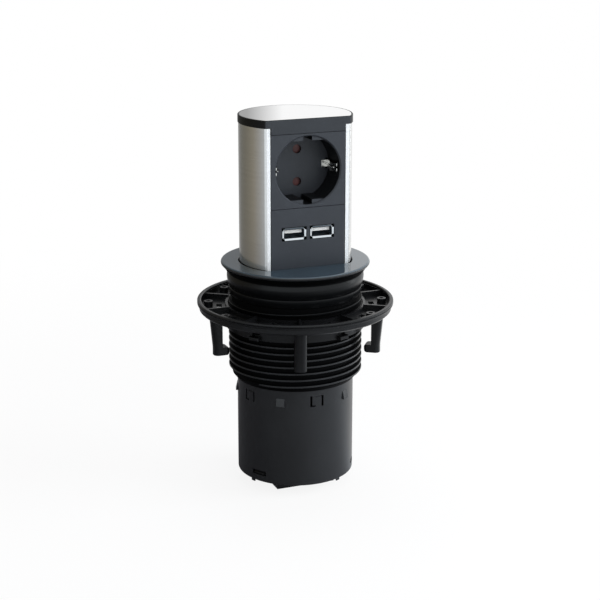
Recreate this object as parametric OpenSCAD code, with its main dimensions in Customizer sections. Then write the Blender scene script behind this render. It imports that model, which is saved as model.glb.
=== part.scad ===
// Pop up desk socket: a sprung tower with one earthed socket and two charging
// ports, which slides in a threaded housing clamped in a round desk cut-out.
// Origin on the axis at the underside of the cover ring, +Z up, front at -Y.

/* [Cover ring] */
// How far the glossy edge reaches past the neck
ring_edge_w = 3.4; // [3:0.1:6]
// Height of the ring above the desk
ring_h = 2.4; // [2:0.1:4]
// How far the neck stands past the thread's crest
neck_step = 0.8; // [0.5:0.05:1.2]
// Depth of the neck below the desk surface
neck_h = 9.1; // [8:0.1:11]
// Depth of the cone under the edge
ring_cone_h = 3.1; // [2.5:0.1:4]
// Gap between the tower and the hole in the ring
hole_gap = 0.7; // [0.6:0.05:0.9]

/* [Tower] */
// Radius of the round back of the tower
tower_r = 32.6; // [31.8:0.1:32.7]
// Depth of the flat front, cut from the round
front_cut = 12.4; // [12.2:0.1:13.2]
// Radius where the flat meets the round back
tower_edge_r = 2; // [1.5:0.1:3]
// Stroke of the tower, which ends flush with the cover ring
travel = 85.6; // [80:0.1:90]
// Length of the metal sleeve below the desk when raised
tower_tail = 17; // [15:0.5:17]
// Thickness of the metal sleeve
sleeve_t = 1; // [0.8:0.1:1.2]
// Width of the sleeve's strip beside the front panels
strip_w = 1.8; // [1.6:0.05:3]
// Thickness of the front panels
panel_t = 2.6; // [2:0.1:3]
// Gap between a front panel and its neighbours
seam = 0.15; // [0.1:0.05:0.3]
// Depth of the junction of the two front panels below the tower's top
seam_drop = 50.9; // [50.5:0.1:51.5]

/* [Cap] */
// Height of the cap's rim
cap_h = 4.5; // [4:0.1:5.5]
// Height of the cap's front apron, from the top
apron_h = 8.4; // [7:0.1:8.8]
// How far the cap stands proud of the sleeve
cap_proud = 0.4; // [0.2:0.05:0.4]
// Width of the black border round the cap's plate
cap_border = 0.9; // [0.8:0.1:2]
// Thickness of the cap's metal plate
plate_t = 0.8; // [0.6:0.1:1.2]

/* [Socket] */
// Depth of the recess centre below the tower's top
socket_drop = 29.7; // [29.4:0.1:29.9]
// Diameter of the plug recess
recess_d = 39.2; // [39:0.1:39.6]
// Depth of the plug recess
recess_depth = 17.5; // [17:0.1:17.5]
// Wall of the recess cup
cup_wall = 1.1; // [0.9:0.1:1.2]
// Thickness of the recess floor
floor_t = 2; // [1.6:0.1:2.2]
// Distance from the recess centre to a key's chord
key_chord = 16.9; // [16.5:0.1:17.3]
// Width of the groove across each key
key_groove = 5.4; // [5:0.1:6]
// Distance between the two contact holes
pin_spacing = 19; // [18.8:0.1:19.2]
// Diameter of a contact hole
pin_hole_d = 5.3; // [5:0.1:5.6]
// Height of an earth clip
clip_h = 6; // [5:0.1:6.4]
// Thickness of the clip's spring strip
clip_t = 0.7; // [0.5:0.05:0.7]
// Sideways stroke of the shutter
shutter_travel = 6.2; // [6.2:0.05:6.4]
// Depth of the moulded block behind the recess
back_depth = 14.6; // [14:0.1:16]

/* [Charging ports] */
// Depth of the ports below the tower's top
port_drop = 65.6; // [64:0.1:67]
// Distance between the two ports
port_spacing = 17; // [16.6:0.1:18]
// Width over a port's flared lips
port_w = 14.9; // [14.5:0.1:15.2]
// Height over a port's flared lips
port_h = 7.6; // [7.3:0.1:8]
// Depth of a port's shell
port_depth = 14; // [13:0.5:15]

/* [Housing] */
// Depth of the outside thread
thread_depth = 2.1; // [1.8:0.05:2.3]
// Wall between the can and the thread's root
thread_wall = 2.9; // [2.6:0.05:3.2]
// Pitch of the thread
pitch = 3.88; // [3.7:0.02:4]
// Number of thread turns
thread_turns = 13; // [12:1:13]
// Depth of the top of the thread below the desk
thread_top = 13; // [12.8:0.1:14]
// Step from the thread's crest in to the band above it
band_step = 1; // [0.8:0.05:1.2]
// Gap between the tower and the can
can_gap = 0.4; // [0.35:0.05:0.6]
// Wall of the can
can_wall = 1.3; // [1.1:0.05:1.3]
// Room in the can under the lowered tower
can_room = 18.2; // [17.5:0.1:22]
// Depth of the joint windows below the desk
joint_depth = 74.3; // [73.6:0.1:76]
// Width of the inlet block under the can
inlet_w = 36; // [34:0.5:38]
// Depth of the inlet block, front to back
inlet_l = 34; // [32:0.5:36]
// How far the inlet block stands below the can
inlet_drop = 7.2; // [6:0.1:9]

/* [Wing nut] */
// Number of legs, windows and thread teeth
wings = 5; // [5:1:5]
// Width of the tray, from the skirt to the rim's outside
tray_w = 16.4; // [15:0.1:18]
// Depth of the clamping face below the desk
clamp_depth = 21.1; // [20.9:0.1:22]
// Height of the rim's outer face
rim_h = 2.6; // [2.2:0.1:3.2]
// Width of the rim and of its clamping ring
rim_w = 2.4; // [2.2:0.1:2.8]
// Depth of the tray below the clamping face
tray_depth = 4.4; // [4:0.1:5]
// Thickness of the tray floor
tray_t = 1.8; // [1.5:0.1:2.2]
// Gap between the skirt and the thread's crest
skirt_gap = 0.45; // [0.35:0.05:0.6]
// Wall of the skirt
skirt_t = 1.45; // [1.2:0.05:1.8]
// Length of the skirt below the clamping face
skirt_len = 15.3; // [14.6:0.1:17]
// Length of the legs below the clamping face
leg_len = 29.4; // [27:0.1:31]
// Width of a leg
leg_w = 7; // [6:0.1:8]
// Distance from the skirt to the screw circle in the tray
boss_step = 9.8; // [9:0.1:10.3]
// Radius of a screw hole in the tray
boss_hole_r = 1.3; // [1.1:0.05:1.5]

/* [Springs and lead] */
// Mean radius of the lift spring
spring_r = 18.5; // [18.3:0.1:18.7]
// Wire diameter of the lift spring
spring_wire = 1.6; // [1.4:0.1:1.8]
// Turns of the lift spring
spring_turns = 8; // [6:1:9]
// Mean radius of the curly lead
lead_r = 9; // [8.5:0.1:9.4]
// Diameter of the lead
lead_d = 3; // [2.8:0.1:3.2]
// Curls of the lead
lead_curls = 6; // [5:1:6]

/* [Lift mechanism] */
// Module of the damper's rack and pinion
gear_m = 0.7; // [0.68:0.01:0.72]
// Teeth of the damper's pinion
gear_teeth = 10; // [10:1:10]
// Width of the rack and the pinion
gear_w = 3.8; // [3:0.1:3.8]
// Sideways place of the rack's middle
rack_x = 11; // [10.8:0.1:11]
// Sideways place of the latch's middle
latch_x = -9.5; // [-9.8:0.1:-9.2]

/* [Hidden] */

$fn = 96;
eps = 0.01;
far = 400;
// running gap of a small pin in its hole
pin_gap = 0.05;
// gap between pieces of different bodies
body_gap = 0.3;

carriage_t = 5;
tower_top = travel + ring_h;
can_depth = travel + tower_tail + carriage_t + can_room;
can_in = tower_r + can_gap;
can_r = can_in + can_wall;
root_r = can_r + thread_wall;
crest_r = root_r + thread_depth;
band_r = crest_r - band_step;
neck_r = crest_r + neck_step;
neck_bore = can_r + 0.1;
ring_r = neck_r + ring_edge_w;
ring_plate = 2.5;
thread_base = 1.5;
thread_tip = 0.5;
// azimuth at which the thread starts at its lower end
thread_start = -84;
crest_z0 = -thread_top - thread_turns * pitch - thread_base / 2 - 0.1;
thread_foot = crest_z0 - thread_base / 2 - 0.1;

tower_flat = tower_r - front_cut;
sleeve_top = tower_top - cap_h;
sleeve_bottom = -tower_tail;
carriage_bottom = sleeve_bottom - carriage_t;
// half the width of the plan's flat, up to its rounded corners
flat_x = sqrt(pow(tower_r - tower_edge_r, 2) - pow(tower_flat - tower_edge_r, 2));
window_x = flat_x - strip_w;
panel_x = window_x - seam * 2;
panel_back = -tower_flat + panel_t;
apron_z = tower_top - apron_h;
socket_z = tower_top - socket_drop;
seam_z = tower_top - seam_drop;
port_z = tower_top - port_drop;
recess_r = recess_d / 2;
cup_r = recess_r + cup_wall + 0.2;
floor_front = -tower_flat + recess_depth;
floor_back = floor_front + floor_t;

cover_t = 2.4;
cover_bottom = -can_depth + 0.2;
cover_top = cover_bottom + cover_t;
inlet_bottom = -can_depth - inlet_drop;
inlet_top = cover_top + 11;

gear_r = gear_m * gear_teeth / 2;
gear_pitch = PI * gear_m;
addendum = 0.85 * gear_m;
dedendum = 1.1 * gear_m;
backlash = 0.12;
pinion_y = -tower_flat - gear_r - addendum - 0.4;
pinion_z = sleeve_bottom;
rack_line = pinion_y - gear_r;

clamp_z = -clamp_depth;
ring_lip = 1.3;
nut_rim_z = clamp_z - ring_lip - body_gap;
tray_z = clamp_z - tray_depth;
tray_under = tray_z - tray_t;
skirt_in = crest_r + skirt_gap;
skirt_out = skirt_in + skirt_t;
rim_r = skirt_out + tray_w;
boss_r = skirt_out + boss_step;
skirt_bottom = clamp_z - skirt_len;
wing_step = 360 / wings;

// A solid turned from a profile in the radius and height plane, from azimuth
// a over the angle w. Azimuth counts from the front (-Y) towards +X.
module sector(a, w) rotate([0, 0, a - 90 - w / 2]) rotate_extrude(angle = w) children();

// A box given by its lowest and highest corners
module box(lo, hi) translate(lo) cube(hi - lo);

// A tube between two heights
module tube(ro, ri, z0, z1) difference() {
    translate([0, 0, z0]) cylinder(r = ro, h = z1 - z0);
    translate([0, 0, z0 - 1]) cylinder(r = ri, h = z1 - z0 + 2);
}

// A cylinder along Y from y0 to y1, about the point x, z
module rod_y(r, x, z, y0, y1, fn = 48)
    translate([x, y1, z]) rotate([90, 0, 0]) cylinder(r = r, h = y1 - y0, $fn = fn);

// A cylinder along X from x0 to x1, about the point y, z
module rod_x(r, y, z, x0, x1, fn = 48)
    translate([x0, y, z]) rotate([0, 90, 0]) cylinder(r = r, h = x1 - x0, $fn = fn);

// The tower's plan, drawn in by inset all round: a circle with one flat,
// whose two corners are rounded
module tower_plan(inset = 0) {
    r = tower_r - inset;
    f = tower_flat - inset;
    e = max(tower_edge_r - inset, 0.3);
    cx = sqrt(pow(r - e, 2) - pow(f - e, 2));
    meet = -(f - e) * r / (r - e);
    intersection() {
        circle(r = r, $fn = 160);
        translate([-r - 1, meet]) square([2 * r + 2, r - meet + 1]);
    }
    translate([-cx, -f]) square([2 * cx, meet + f + eps]);
    for (s = [-1, 1]) translate([s * cx, -f + e]) circle(r = e, $fn = 32);
}

module tower_slab(inset, z0, z1)
    translate([0, 0, z0]) linear_extrude(z1 - z0) tower_plan(inset);

// Points on a helix, n to a turn
function helix(r, z0, z1, turns, n) = [
    for (i = [0 : n * turns])
        let (a = 360 * i / n)
        [r * cos(a), r * sin(a), z0 + (z1 - z0) * i / (n * turns)]
];

function unit(v) = v / norm(v);

// A tube with m sides swept along points, its rings square to the path
module swept(path, d, m = 6) {
    n = len(path);
    ring = [for (i = [0 : n - 1])
        let (
            t = unit(path[min(i + 1, n - 1)] - path[max(i - 1, 0)]),
            u = unit(cross(t, [path[i].x, path[i].y, 0])),
            v = cross(u, t)
        )
        for (k = [0 : m - 1])
            path[i] + d / 2 * (cos(360 * k / m) * u + sin(360 * k / m) * v)];
    sides = [for (i = [0 : n - 2]) for (k = [0 : m - 1])
        let (a = i * m + k, b = i * m + (k + 1) % m)
        for (f = [[a, b, a + m], [b, b + m, a + m]]) f];
    first = [for (k = [1 : m - 2]) [0, k + 1, k]];
    last = [for (k = [1 : m - 2]) let (e = (n - 1) * m) [e, e + k, e + k + 1]];
    polyhedron(ring, concat(sides, first, last));
}

// Least distance between the skins of turns that lie side by side
function least_gap(path, per_turn, d) = min([
    for (i = [0 : len(path) - 1])
        for (j = [i + floor(per_turn / 2) : 1 : len(path) - 1])
            norm(path[i] - path[j])]) - d;

// A profile in the radius and height plane, drawn out to the width w, standing
// at the front (radius r lies at y = -r)
module rib(w)
    translate([w / 2, 0, 0]) rotate([0, 0, -90]) rotate([90, 0, 0]) linear_extrude(w) children();

// Housing

module cover_ring() color([0.1, 0.1, 0.11]) {
    edge_r = (ring_h - 0.1) / 2;
    groove_z = -ring_cone_h - 1;
    difference() {
        rotate_extrude($fn = 180) {
            polygon(concat(
                [[0, -ring_plate], [0, ring_h]],
                [for (a = [90 : -15 : -60])
                    [ring_r - edge_r * (1 - cos(a)), ring_h - edge_r * (1 - sin(a))]],
                [[ring_r - 1, 0], [neck_r + 0.3, -ring_cone_h],
                [neck_r - 0.9, -ring_cone_h], [neck_r - 0.9, groove_z], [neck_r, groove_z],
                [neck_r, -neck_h], [neck_bore, -neck_h], [neck_bore, -ring_plate]]
            ));
        }
        tower_slab(-hole_gap, -ring_plate - 1, ring_h + 1);
    }
}

// A tube with one helical thread. Its skin is one net of points: rows follow
// the thread's four edges, and the height of the thread fades in at both ends
module threaded_sleeve() {
    n = 48;
    rows = 4 * thread_turns;
    fade = 0.12;
    half = [-thread_base / 2, -thread_tip / 2, thread_tip / 2, thread_base / 2];
    bore = (can_r + 0.12) / cos(180 / n);
    end_z = thread_foot - 2.4;
    function at(i, j) =
        let (
            m = j % 4,
            t = i / n + floor(j / 4),
            high = max(0, min(1, t / fade, (thread_turns - t) / fade)),
            r = root_r + (m == 1 || m == 2 ? high * (crest_r - root_r) : 0),
            a = thread_start - 90 + 360 * i / n
        )
        [r * cos(a), r * sin(a), crest_z0 + pitch * t + half[m]];
    function id(i, j) = i == n ? id(0, j + 4) : j >= rows ? n * rows + j - rows : i * rows + j;
    loop = [
        [root_r, -thread_top], [band_r, 0.4 - thread_top], [band_r, -neck_h],
        [bore, -neck_h], [bore, end_z], [can_r + 0.9, end_z], [root_r, thread_foot]
    ];
    function ring(q, i) = n * rows + 4 + q * n + i % n;
    points = concat(
        [for (i = [0 : n - 1]) for (j = [0 : rows - 1]) at(i, j)],
        [for (j = [rows : rows + 3]) at(0, j)],
        [for (p = loop) for (i = [0 : n - 1])
            let (a = thread_start - 90 + 360 * i / n) [p[0] * cos(a), p[0] * sin(a), p[1]]]
    );
    thread = [for (i = [0 : n - 1]) for (j = [0 : rows - 2])
        for (f = [[id(i, j), id(i, j + 1), id(i + 1, j + 1)],
                  [id(i, j), id(i + 1, j + 1), id(i + 1, j)]]) f];
    walls = [for (q = [0 : len(loop) - 2]) for (i = [0 : n - 1])
        for (f = [[ring(q, i), ring(q + 1, i), ring(q + 1, i + 1)],
                  [ring(q, i), ring(q + 1, i + 1), ring(q, i + 1)]]) f];
    above = [for (i = [1 : n - 1])
        for (f = [[id(i, rows - 1), ring(0, i), ring(0, i + 1)],
                  [id(i, rows - 1), ring(0, i + 1), id(i + 1, rows - 1)]]) f];
    above_end = concat(
        [for (j = [rows - 1 : rows + 2]) [id(1, rows - 1), id(0, j), id(0, j + 1)]],
        [[id(1, rows - 1), id(0, rows + 3), ring(0, 0)], [id(1, rows - 1), ring(0, 0), ring(0, 1)]]
    );
    foot = len(loop) - 1;
    below = [for (i = [0 : n - 2])
        for (f = [[ring(foot, i), id(i, 0), id(i + 1, 0)],
                  [ring(foot, i), id(i + 1, 0), ring(foot, i + 1)]]) f];
    below_end = concat(
        [for (j = [4 : -1 : 1]) [id(n - 1, 0), id(0, j), id(0, j - 1)]],
        [[id(n - 1, 0), id(0, 0), ring(foot, 0)], [id(n - 1, 0), ring(foot, 0), ring(foot, n - 1)]]
    );
    color([0.13, 0.13, 0.14])
        polyhedron(points, concat(thread, walls, above, above_end, below, below_end));
}

latch_slot_z = 5.3 - can_depth;
latch_slots = [-60, 60, 180];
latch_slot_h = 2.8;
tongue_w = 7;
tongue_h = 6.5;

module lower_can() color([0.14, 0.14, 0.15]) {
    top = -ring_plate - 0.1;
    cut = 1.4;
    difference() {
        union() {
            rotate_extrude() polygon([
                [can_in, top], [can_r, top], [can_r, 0.7 - can_depth], [can_r - 0.4, -can_depth],
                [can_in, -can_depth]
            ]);
            // raised noses of the joint, between the tongues
            for (k = [0 : wings - 1]) rotate([0, 0, wing_step * (k + 0.5)])
                rib(5) polygon([
                    [can_in + 0.4, -joint_depth - 3], [can_r + 1, -joint_depth - 3],
                    [can_r + 1, 1.5 - joint_depth], [can_in + 0.4, 3 - joint_depth]
                ]);
            // four feet under the lower edge
            for (a = [-69, 27, 111, 207])
                sector(a, 5) translate([can_in + 0.1, -can_depth - 1.4])
                    square([can_wall - 0.7, 1.6]);
        }
        // slots on three sides of each tongue
        for (k = [0 : wings - 1]) rotate([0, 0, wing_step * k]) {
            for (s = [-1, 1])
                translate([s * (tongue_w + cut) / 2, -can_r, -joint_depth])
                    cube([cut, 8, tongue_h], center = true);
            translate([-tongue_w * 0.25, -can_r, -joint_depth - tongue_h / 2 + cut / 2])
                cube([tongue_w / 2 + cut, 8, cut], center = true);
        }
        // slots for the bottom cover's latches
        for (a = latch_slots) rotate([0, 0, a])
            translate([0, -can_r, latch_slot_z]) cube([10, 8, latch_slot_h], center = true);
    }
}

inlet_fit = [27.4, 18.2];

module bottom_cover() color([0.12, 0.12, 0.13]) {
    r = can_in - 0.15;
    difference() {
        union() {
            translate([0, 0, cover_bottom]) cylinder(r = r, h = cover_t);
            // latch tongues, whose noses catch in the can's slots
            for (a = latch_slots) {
                sector(a, 14) translate([r - 1.4, cover_top - 1])
                    square([1.3, latch_slot_z + 2.5 - cover_top]);
                sector(a, 13) polygon([
                    [r - 0.5, latch_slot_z - 0.9], [can_r - 0.3, latch_slot_z - 0.9],
                    [can_r - 0.3, latch_slot_z - 0.3], [r - 0.5, latch_slot_z + 1.1]
                ]);
            }
            // ring that centres the lift spring
            tube(spring_r + 2.4, spring_r + 1.2, cover_top - eps, cover_top + 1.6);
        }
        translate([0, 0, cover_bottom])
            cube([inlet_fit.x, inlet_fit.y, 3 * cover_t], center = true);
    }
}

inlet_mouth = [24.6, 15.6];
inlet_depth = 15.5;
blade = [4, 2];

module inlet_outline(size, corner) polygon([
    [-size.x / 2, -size.y / 2], [size.x / 2, -size.y / 2], [size.x / 2, size.y / 2 - corner],
    [size.x / 2 - corner, size.y / 2], [corner - size.x / 2, size.y / 2],
    [-size.x / 2, size.y / 2 - corner]
]);

module blade_places() for (p = [[-7, -1], [7, -1], [0, 3.5]]) translate(p) children();

module inlet_block() color([0.11, 0.11, 0.12])
    difference() {
        union() {
            translate([-inlet_w / 2, -inlet_l / 2, inlet_bottom])
                cube([inlet_w, inlet_l, cover_bottom - inlet_bottom]);
            translate([-inlet_fit.x / 2, -inlet_fit.y / 2, cover_bottom - eps])
                cube([inlet_fit.x, inlet_fit.y, inlet_top - cover_bottom + eps]);
        }
        translate([0, 0, inlet_bottom - 1]) linear_extrude(inlet_depth + 1)
            inlet_outline(inlet_mouth, 4.5);
        blade_places() translate([0, 0, inlet_top]) cube([blade.y, blade.x, 20], center = true);
    }

module inlet_pins() color([0.75, 0.72, 0.6])
    blade_places() translate([-blade.y / 2, -blade.x / 2, inlet_bottom + 2])
        cube([blade.y, blade.x, inlet_top + 1.5 - inlet_bottom - 2]);

spring_seat = 1.2;
spring_path = helix(spring_r, cover_top + spring_wire / 2 + 0.05,
    carriage_bottom + spring_seat - spring_wire / 2 - 0.15, spring_turns, 24);

module lift_spring() color([0.7, 0.7, 0.72]) swept(spring_path, spring_wire);

lead_top = sleeve_bottom + 10;
lead_n = 16 * lead_curls;
// the lead rises beside the inlet's blades
lead_start = -90;
lead_path = [for (i = [0 : lead_n])
    let (s = i / lead_n, a = 360 * lead_curls * (s - sin(360 * s) / (2 * PI)) + lead_start)
    [lead_r * cos(a), lead_r * sin(a), inlet_top + (lead_top - inlet_top) * s]];

module internal_lead() color([0.16, 0.16, 0.17]) swept(lead_path, lead_d);

echo("lift spring least gap", least_gap(spring_path, 24, spring_wire));
echo("curly lead least gap", least_gap(lead_path, 8, lead_d));

// Lift mechanism

module damper_rack() {
    half = gear_pitch / 4 - backlash;
    tip = half - addendum * tan(20);
    foot = half + dedendum * tan(20);
    z0 = pinion_z - travel - 6;
    z1 = pinion_z + 6;
    first = ceil((z0 - pinion_z) / gear_pitch) + 1;
    last = floor((z1 - pinion_z) / gear_pitch) - 2;
    tooth_foot = -rack_line + dedendum;
    tooth_tip = -rack_line - addendum;
    color([0.75, 0.75, 0.72]) intersection() {
        translate([rack_x, 0, 0]) rib(gear_w) polygon(concat(
            [[tooth_foot, z0]],
            [for (k = [first : last])
                let (z = pinion_z + (k + 0.5) * gear_pitch)
                for (p = [[tooth_foot, z - foot], [tooth_tip, z - tip],
                          [tooth_tip, z + tip], [tooth_foot, z + foot]]) p],
            [[tooth_foot, z1], [can_r, z1], [can_r, z0]]
        ));
        translate([0, 0, z0 - 1]) cylinder(r = can_in - 0.02, h = z1 - z0 + 2);
    }
}

module damper_pinion() color([0.9, 0.88, 0.8]) {
    half = gear_pitch / 4 - backlash;
    step = 360 / gear_teeth;
    root = gear_r - dedendum;
    tip = gear_r + addendum;
    tip_half = half * 0.36;
    difference() {
        translate([rack_x - gear_w / 2, pinion_y, pinion_z]) rotate([0, 90, 0])
            linear_extrude(gear_w) {
                circle(r = root + 0.05, $fn = 48);
                // teeth narrow from root to tip; one points at the rack
                for (k = [0 : gear_teeth - 1]) rotate(-90 + k * step) polygon([
                    [root - 0.3, -half * 1.35], [gear_r - 0.2, -half * 1.05], [tip, -tip_half],
                    [tip, tip_half], [gear_r - 0.2, half * 1.05], [root - 0.3, half * 1.35]
                ]);
            }
        rod_x(1 + pin_gap, pinion_y, pinion_z, rack_x - 4, rack_x + 4, 32);
    }
}

damper_x = rack_x + gear_w / 2 + 0.4;

module damper_body() color([0.2, 0.2, 0.22]) {
    rod_x(3, pinion_y, pinion_z, damper_x, damper_x + 3.6);
    // axle on which the pinion turns
    rod_x(1, pinion_y, pinion_z, rack_x - gear_w / 2 - 0.3, damper_x + eps, 32);
    box([damper_x, pinion_y, pinion_z - 3], [damper_x + 3.6, -tower_flat, pinion_z - 0.5]);
    box([damper_x, -tower_flat - 1.5, carriage_bottom], [damper_x + 3.6, -tower_flat, pinion_z]);
}

hook_w = 4.6;
striker_z = carriage_bottom;
striker_h = 1.8;
striker_l = 4.4;
catch_z = striker_z - travel + striker_h + body_gap;
hook_pivot_y = -tower_flat - striker_l - 2.6;
hook_pivot_z = catch_z - 9;
hook_top = catch_z + 2.5;
bracket_y = hook_pivot_y - 2;

module latch_bracket() color([0.7, 0.7, 0.68]) difference() {
    union() {
        intersection() {
            box([latch_x - 4, -can_r, hook_pivot_z - 4], [latch_x + 4, bracket_y, hook_pivot_z + 3]);
            translate([0, 0, hook_pivot_z - 5]) cylinder(r = can_in - 0.02, h = 10);
        }
        for (s = [-1, 1])
            translate([latch_x + s * 3.3, 0, 0])
                box([-0.7, bracket_y - 0.1, hook_pivot_z - 4], [0.7, hook_pivot_y + 2.2, hook_pivot_z + 2.5]);
    }
    rod_x(1, hook_pivot_y, hook_pivot_z, latch_x - 5, latch_x + 5, 32);
}

module latch_pin() color([0.8, 0.8, 0.82])
    rod_x(1, hook_pivot_y, hook_pivot_z, latch_x - 4.2, latch_x + 4.2, 32);

module latch_hook() color([0.85, 0.83, 0.75]) difference() {
    union() {
        rod_x(1.9, hook_pivot_y, hook_pivot_z, latch_x - hook_w / 2, latch_x + hook_w / 2);
        translate([latch_x, 0, 0]) rib(hook_w) polygon([
            [-hook_pivot_y - 0.8, hook_pivot_z], [-hook_pivot_y + 0.8, hook_pivot_z],
            [-hook_pivot_y + 0.8, hook_top], [-hook_pivot_y - 0.4, hook_top],
            [-hook_pivot_y - 3.6, catch_z + 1.2], [-hook_pivot_y - 3.6, catch_z],
            [-hook_pivot_y - 0.8, catch_z]
        ]);
    }
    rod_x(1 + pin_gap, hook_pivot_y, hook_pivot_z, latch_x - 4, latch_x + 4, 32);
}

module latch_striker() color([0.85, 0.83, 0.75])
    translate([latch_x, 0, 0]) rib(4) polygon([
        [tower_flat, striker_z], [tower_flat + striker_l - 1, striker_z],
        [tower_flat + striker_l, striker_z + 1], [tower_flat + striker_l, striker_z + striker_h],
        [tower_flat, striker_z + striker_h]
    ]);

// Wing nut

module clamp_ring() color([0.15, 0.15, 0.16]) rotate_extrude($fn = 180) {
    e = 0.7;
    z0 = clamp_z - ring_lip;
    translate([rim_r - rim_w, z0]) square([rim_w, ring_lip - e]);
    translate([rim_r - rim_w + e, z0]) square([rim_w - 2 * e, ring_lip]);
    for (r = [rim_r - rim_w + e, rim_r - e]) translate([r, clamp_z - e]) circle(r = e, $fn = 24);
    // tongue that keeps the ring centred in the nut's groove
    translate([rim_r - rim_w / 2 - 0.3, z0 - 0.7]) square([0.6, 1]);
}

// Height of the middle of the thread's groove nearest a height, at an azimuth
function groove_z(azimuth, near) =
    let (z = crest_z0 + pitch * ((azimuth - thread_start) / 360 + 0.5))
    z + pitch * round((near - z) / pitch);

window_z = tray_under - 2.8;
window_h = 4.4;
tooth_z = skirt_bottom + 2.4;

module nut_leg() {
    out = boss_r + 2;
    lean = 2.4;
    toe_h = 4.7;
    z0 = clamp_z - leg_len;
    length = tray_under - z0;
    intersection() {
        rib(leg_w) polygon([
            [out - 6.6, tray_under + eps], [out, tray_under + eps], [out - lean, z0 + 0.8],
            [out - lean - 1, z0], [out - 9.6, z0], [out - 10, z0 + 0.5],
            [out - 10, z0 + toe_h - 0.5], [out - 9.6, z0 + toe_h], [out - 6.2, z0 + toe_h]
        ]);
        translate([0, 6 - out, tray_under]) rotate([atan(lean / length), 0, 0])
            translate([0, 0, -length - 3]) cylinder(r = 6, h = length + 6);
    }
}

module wing_nut() color([0.13, 0.13, 0.14]) {
    rib_top = clamp_z - 1.3;
    tray_in = rim_r - rim_w;
    difference() {
        union() {
            rotate_extrude($fn = 180) polygon([
                [skirt_in, skirt_bottom], [skirt_out, skirt_bottom], [skirt_out, tray_under - 0.8],
                [skirt_out + 0.8, tray_under], [rim_r - 2, tray_under], [rim_r - 1.2, tray_under + 0.8],
                [rim_r - 1.2, clamp_z - rim_h], [rim_r, clamp_z - rim_h + 0.5],
                [rim_r, nut_rim_z], [tray_in, nut_rim_z], [tray_in, tray_z],
                [skirt_out, tray_z], [skirt_out, tray_z + 2.2], [skirt_in, tray_z + 2.2]
            ]);
            for (k = [0 : 2 * wings - 1]) rotate([0, 0, wing_step * k / 2]) {
                // radial ribs of the tray
                rotate([0, 0, -wing_step / 4])
                    translate([-0.7, -tray_in - eps, tray_z - eps])
                        cube([1.4, tray_in - skirt_out + 0.3, rib_top - tray_z]);
                translate([0, -boss_r, tray_z - eps]) cylinder(r = boss_hole_r + 1.3, h = rib_top - tray_z);
            }
            for (k = [0 : wings - 1]) rotate([0, 0, wing_step * (k - 0.25)]) nut_leg();
            // blocks under the skirt's windows
            for (k = [0 : wings - 1]) rotate([0, 0, wing_step * (k + 0.25)])
                rib(5.4) polygon([
                    [skirt_in + 0.4, skirt_bottom], [skirt_out + 2, skirt_bottom + 0.5],
                    [skirt_out + 2.4, skirt_bottom + 0.9], [skirt_out + 2.4, window_z - window_h],
                    [skirt_in + 0.4, window_z - window_h]
                ]);
        }
        // groove for the clamping ring's tongue
        rotate_extrude($fn = 180) translate([rim_r - rim_w / 2 - 0.6, nut_rim_z - 0.7])
            square([1.2, 3]);
        for (k = [0 : 2 * wings - 1]) rotate([0, 0, wing_step * k / 2]) {
            translate([0, -boss_r, tray_under - 1]) cylinder(r = boss_hole_r, h = 10, $fn = 32);
            // slot between the boss and the collar
            translate([0, -skirt_out - 3.6, tray_z]) cube([6.4, 3.2, 8], center = true);
        }
        for (k = [0 : wings - 1]) {
            // opening above each toe, on both sides of the rib
            rotate([0, 0, wing_step * (k - 0.25)]) for (s = [-1, 1])
                translate([s * 2.3, -skirt_out - 2.4, tray_under]) cube([2.6, 3.2, 5], center = true);
            rotate([0, 0, wing_step * (k + 0.25)])
                translate([0, -skirt_out, window_z - window_h / 2])
                    cube([5.4, 4 * skirt_t, window_h], center = true);
        }
    }
    // thread teeth, each at the height of the groove at its place
    for (k = [0 : wings - 1]) {
        azimuth = wing_step * (k + 0.25);
        z = groove_z(azimuth, tooth_z);
        sector(azimuth, 24) polygon([
            [skirt_in + 0.2, z - 1.1], [root_r + 0.5, z - 0.5], [root_r + 0.5, z + 0.5],
            [skirt_in + 0.2, z + 1.1]
        ]);
    }
}

// Tower

lead_hole_r = 13;
stop_y = -tower_flat - 6.8;

module carriage() color([0.17, 0.17, 0.18]) {
    difference() {
        union() {
            tower_slab(0, carriage_bottom, sleeve_bottom);
            // upstand inside the metal sleeve
            difference() {
                tower_slab(sleeve_t + 0.05, sleeve_bottom - 1, sleeve_bottom + 8);
                tower_slab(sleeve_t + 2.2, sleeve_bottom, sleeve_bottom + 9);
            }
            // arm that meets the ring's underside and stops the tower
            box([-4, stop_y, carriage_bottom], [4, -tower_flat + 1, sleeve_bottom]);
            box([-4, stop_y, carriage_bottom], [4, stop_y + 3, stop_z - 2]);
        }
        translate([0, 0, carriage_bottom - 1]) cylinder(r = lead_hole_r, h = 30);
        tube(spring_r + 1.1, spring_r - 1.1, carriage_bottom - 1, carriage_bottom + spring_seat);
        for (a = shoe_places) sector(a, 14)
            translate([tower_r - 1.3, carriage_bottom + 0.5]) square([3, carriage_t - 1]);
        for (a = screw_places) rotate([0, 0, a]) translate([0, 2 - tower_r + 2.2, 0]) {
            translate([0, 0, carriage_bottom - 1]) cylinder(r = 1.25, h = 30, $fn = 24);
            translate([0, 0, carriage_bottom - 1]) cylinder(r = 2.5, h = 2.6, $fn = 24);
        }
        // the window in the sleeve leaves the upstand open at the front
        box([-panel_x, -tower_flat - eps, sleeve_bottom], [panel_x, 4 - tower_flat, sleeve_bottom + 9]);
    }
}

shoe_places = [-75, 75, 150, 210];
screw_places = [-105, 105, 180];
stop_z = -ring_plate - body_gap;

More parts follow.
